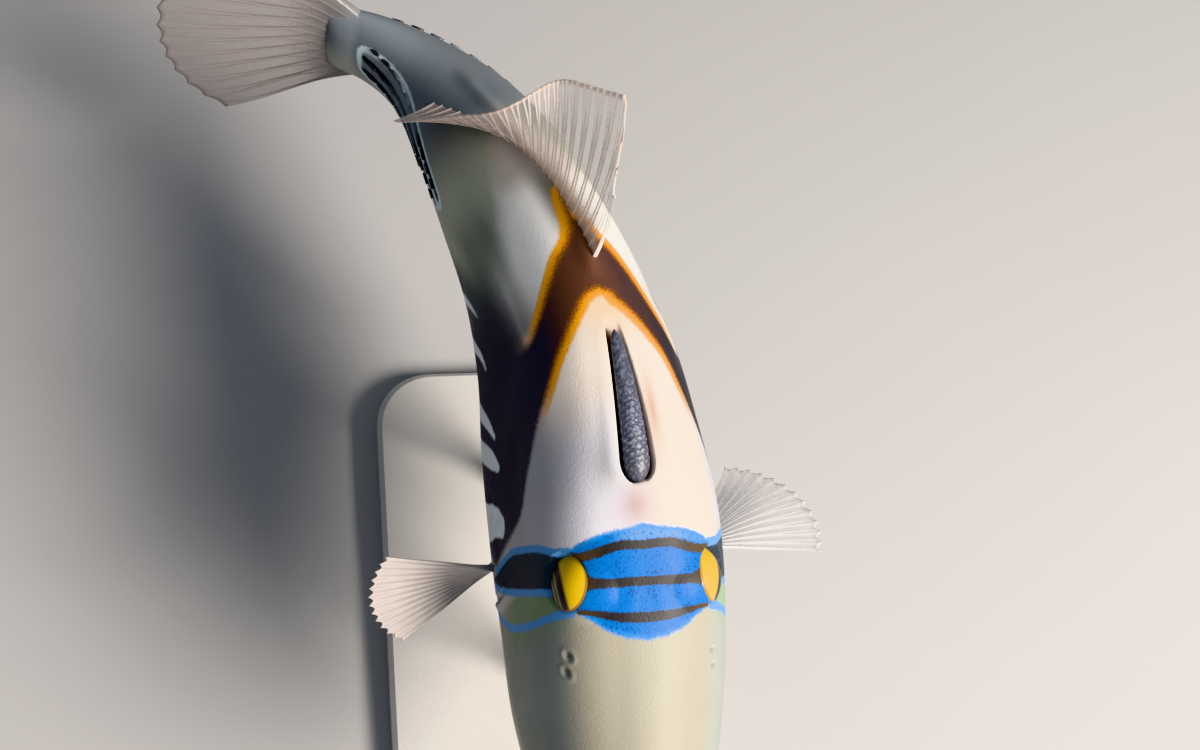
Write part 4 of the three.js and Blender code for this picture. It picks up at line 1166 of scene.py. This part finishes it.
def finMaterial(name, look):
    # clear cast resin over pale jointed rays: fine streaks along the rays, a see-through web, an opaque root
    ray, web, root, rear, clear, (rootFrom, rootTo), rearSolid, streaky = finLooks[look]
    made, tree, where = startMaterial(name)
    noise = add(tree, "TexNoise", Vector=where, Scale=scaleFor(fins["cloud"]), Detail=3)
    share, out, ridge, joint = [add(tree, "Attribute", attribute_name=mark)
                                for mark in ("share", "out", "rays", "joints")]
    fanPlane = add(tree, "CombineXYZ", add(tree, "Math", share, 90, operation="MULTIPLY"),
                   add(tree, "Math", out, 2.5, operation="MULTIPLY"))
    streaks = add(tree, "TexNoise", Vector=fanPlane, Scale=1, Detail=2)
    streaks = add(tree, "MapRange", streaks, 0.42, 0.68, 0, streaky)
    rays = add(tree, "MapRange", ridge, 0.2, 0.8)
    faintRays = add(tree, "Math", rays, 0.15, operation="MULTIPLY")
    joint = add(tree, "Math", joint, faintRays, operation="MULTIPLY")
    layers = (  # share and colour of each layer, over the last
        (add(tree, "MapRange", share, 0.4, 0.75), linear(rear)),
        (add(tree, "Math", rays, streaks, operation="MAXIMUM"), linear(ray)),
        (joint, linear("#8d7f78")),
        (add(tree, "MapRange", out, 0.3, 0.04, 0, 0.8), linear(root)),
        (add(tree, "MapRange", noise, 0.4, 0.7, 0, 0.12), linear("#9a8f8a")),
    )
    colour = linear(web)
    for over, tone in layers:
        colour = add(tree, "Mix", over, colour, tone)
    solid = add(tree, "MapRange", out, rootFrom, rootTo, 0.96, clear)
    toTips = add(tree, "MapRange", out, 0.5, 1, 0.92, 0.6)
    for part in (  # the fin is as solid as its most solid part: rear, rays, streaks or rim
        add(tree, "MapRange", share, 0.4, 0.75, 0, rearSolid),
        add(tree, "Math", rays, toTips, operation="MULTIPLY"),
        add(tree, "Math", streaks, 0.8, operation="MULTIPLY"),
        add(tree, "MapRange", out, 0.955, 0.99, 0, 0.7),
    ):
        solid = add(tree, "Math", solid, part, operation="MAXIMUM")
    bump = add(tree, "Bump", Height=noise, Distance=0.0001, Strength=0.4)
    return finishMaterial(made, {"Base Color": colour, "Alpha": solid, "Normal": bump, "Roughness": 0.4,
                                 "IOR": 1.4, "Coat Weight": 0.1})


finPieces = (  # mesh, name of its material, look, and the node it stands for
    (longFinMesh("soft_dorsal_blade", fins["dorsal"], topOf, 1),
     "clear resin, back fin", "back", "soft_dorsal_fin"),
    (longFinMesh("anal_blade", fins["anal"], bottomOf, -1), "clear resin, belly fin", "under", "anal_fin"),
    (tailFinMesh(), "tinted resin, tail fin", "tail", "tail_fin"),
    (pectoralMesh(1), "clear resin, left fin", "left", "pectoral_fin_left"),
    (pectoralMesh(-1), "clear resin, right fin", "right", "pectoral_fin_right"),
)
for piece, name, look, node in finPieces:
    finishPiece(piece, finMaterial(name, look), "fin_skin", node)

# Display stand: the solids themselves, with their finish
print("stand")
stand = {"peel": 0.714, "dust": 16.7, "lathe": (16.7, 16.7, 0.4)}  # sizes of the finish in millimetres


def paintMaterial():
    # powder-coated steel: pale warm grey, satin, with the coat's fine orange peel
    made, tree, where = startMaterial("pale grey powder coat")
    peel = add(tree, "TexNoise", Vector=where, Scale=scaleFor(stand["peel"]), Detail=2)
    dust = add(tree, "TexNoise", Vector=where, Scale=scaleFor(stand["dust"]), Detail=6)
    dusty = add(tree, "MapRange", dust, 0.45, 0.75, 0, 0.3)
    return finishMaterial(made, {
        "Base Color": add(tree, "Mix", dusty, linear("#b9b6b2"), linear("#a6a29d")),
        "Roughness": add(tree, "MapRange", dust, 0.3, 0.7, 0.42, 0.6),
        "Normal": add(tree, "Bump", Height=peel, Distance=0.0001, Strength=0.5),
        "IOR": 1.5,
    })


def steelMaterial():
    # turned stainless rod: fine rings from the lathe catch the light in bands
    made, tree, where = startMaterial("turned stainless steel")
    stretched = add(tree, "Mapping", Vector=where, Scale=[scaleFor(size) for size in stand["lathe"]])
    rings = add(tree, "TexNoise", Vector=stretched, Scale=1, Detail=2)
    return finishMaterial(made, {
        "Base Color": linear("#b8babd"),
        "Metallic": 1,
        "Roughness": add(tree, "MapRange", rings, 0.3, 0.7, 0.22, 0.38),
        "Normal": add(tree, "Bump", Height=rings, Distance=0.00005, Strength=0.4),
    })


def dress(node, material):
    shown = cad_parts[node]
    for slot in shown.material_slots:
        slot.material = material
    if not shown.material_slots:
        shown.data.materials.append(material)


dress("stand_base", paintMaterial())
rodSteel = steelMaterial()
dress("stand_rod_front", rodSteel)
dress("stand_rod_rear", rodSteel)

# Studio
print("studio")
studio = {
    "floor": "#a4a3a3",
    "floorReach": 3000,  # half its side
    "floorCloud": 167,  # soft unevenness of its tone
    "key": {"from": (0.45, 0.5, 0.72), "size": 0.42, "watts": 22, "tint": "#fff6ec"},
    "top": {"from": (0.35, 0.05, 0.9), "size": 0.8, "watts": 1, "tint": "#e6eeff"},
    "sky": 0.34,
}


def addLight(name, values):
    data = bpy.data.lights.new(name, "AREA")
    data.shape = "DISK"
    data.size = values["size"]
    data.energy = values["watts"]
    data.color = linear(values["tint"])[:3]
    made = bpy.data.objects.new(name, data)
    made.location = values["from"]
    made.rotation_euler = (Vector((0, 0, 0.11)) - made.location).to_track_quat("-Z", "Y").to_euler()
    bpy.context.scene.collection.objects.link(made)


def addFloor():
    side = studio["floorReach"]
    points = np.array([(-side, -side, 0), (side, -side, 0), (side, side, 0), (-side, side, 0)], float)
    floor = addMesh("floor", points, [np.array([(0, 1, 2, 3)])])
    made, tree, where = startMaterial("matt studio floor")
    noise = add(tree, "TexNoise", Vector=where, Scale=scaleFor(studio["floorCloud"]), Detail=3)
    cloud = add(tree, "MapRange", noise, 0.3, 0.7, 0, 0.12)
    colour = add(tree, "Mix", cloud, linear(studio["floor"]), linear("#9c9894"))
    floor.data.materials.append(finishMaterial(made, {"Base Color": colour, "Roughness": 0.8}))


def addSky():
    world = bpy.data.worlds.new("studio")
    bpy.context.scene.world = world
    world.use_nodes = True
    back = world.node_tree.nodes["Background"]
    back.inputs["Color"].default_value = linear("#d9e2ee")
    back.inputs["Strength"].default_value = studio["sky"]


addFloor()
addSky()
addLight("key", studio["key"])
addLight("top", studio["top"])
bpy.context.scene.view_settings.view_transform = "Khronos PBR Neutral"
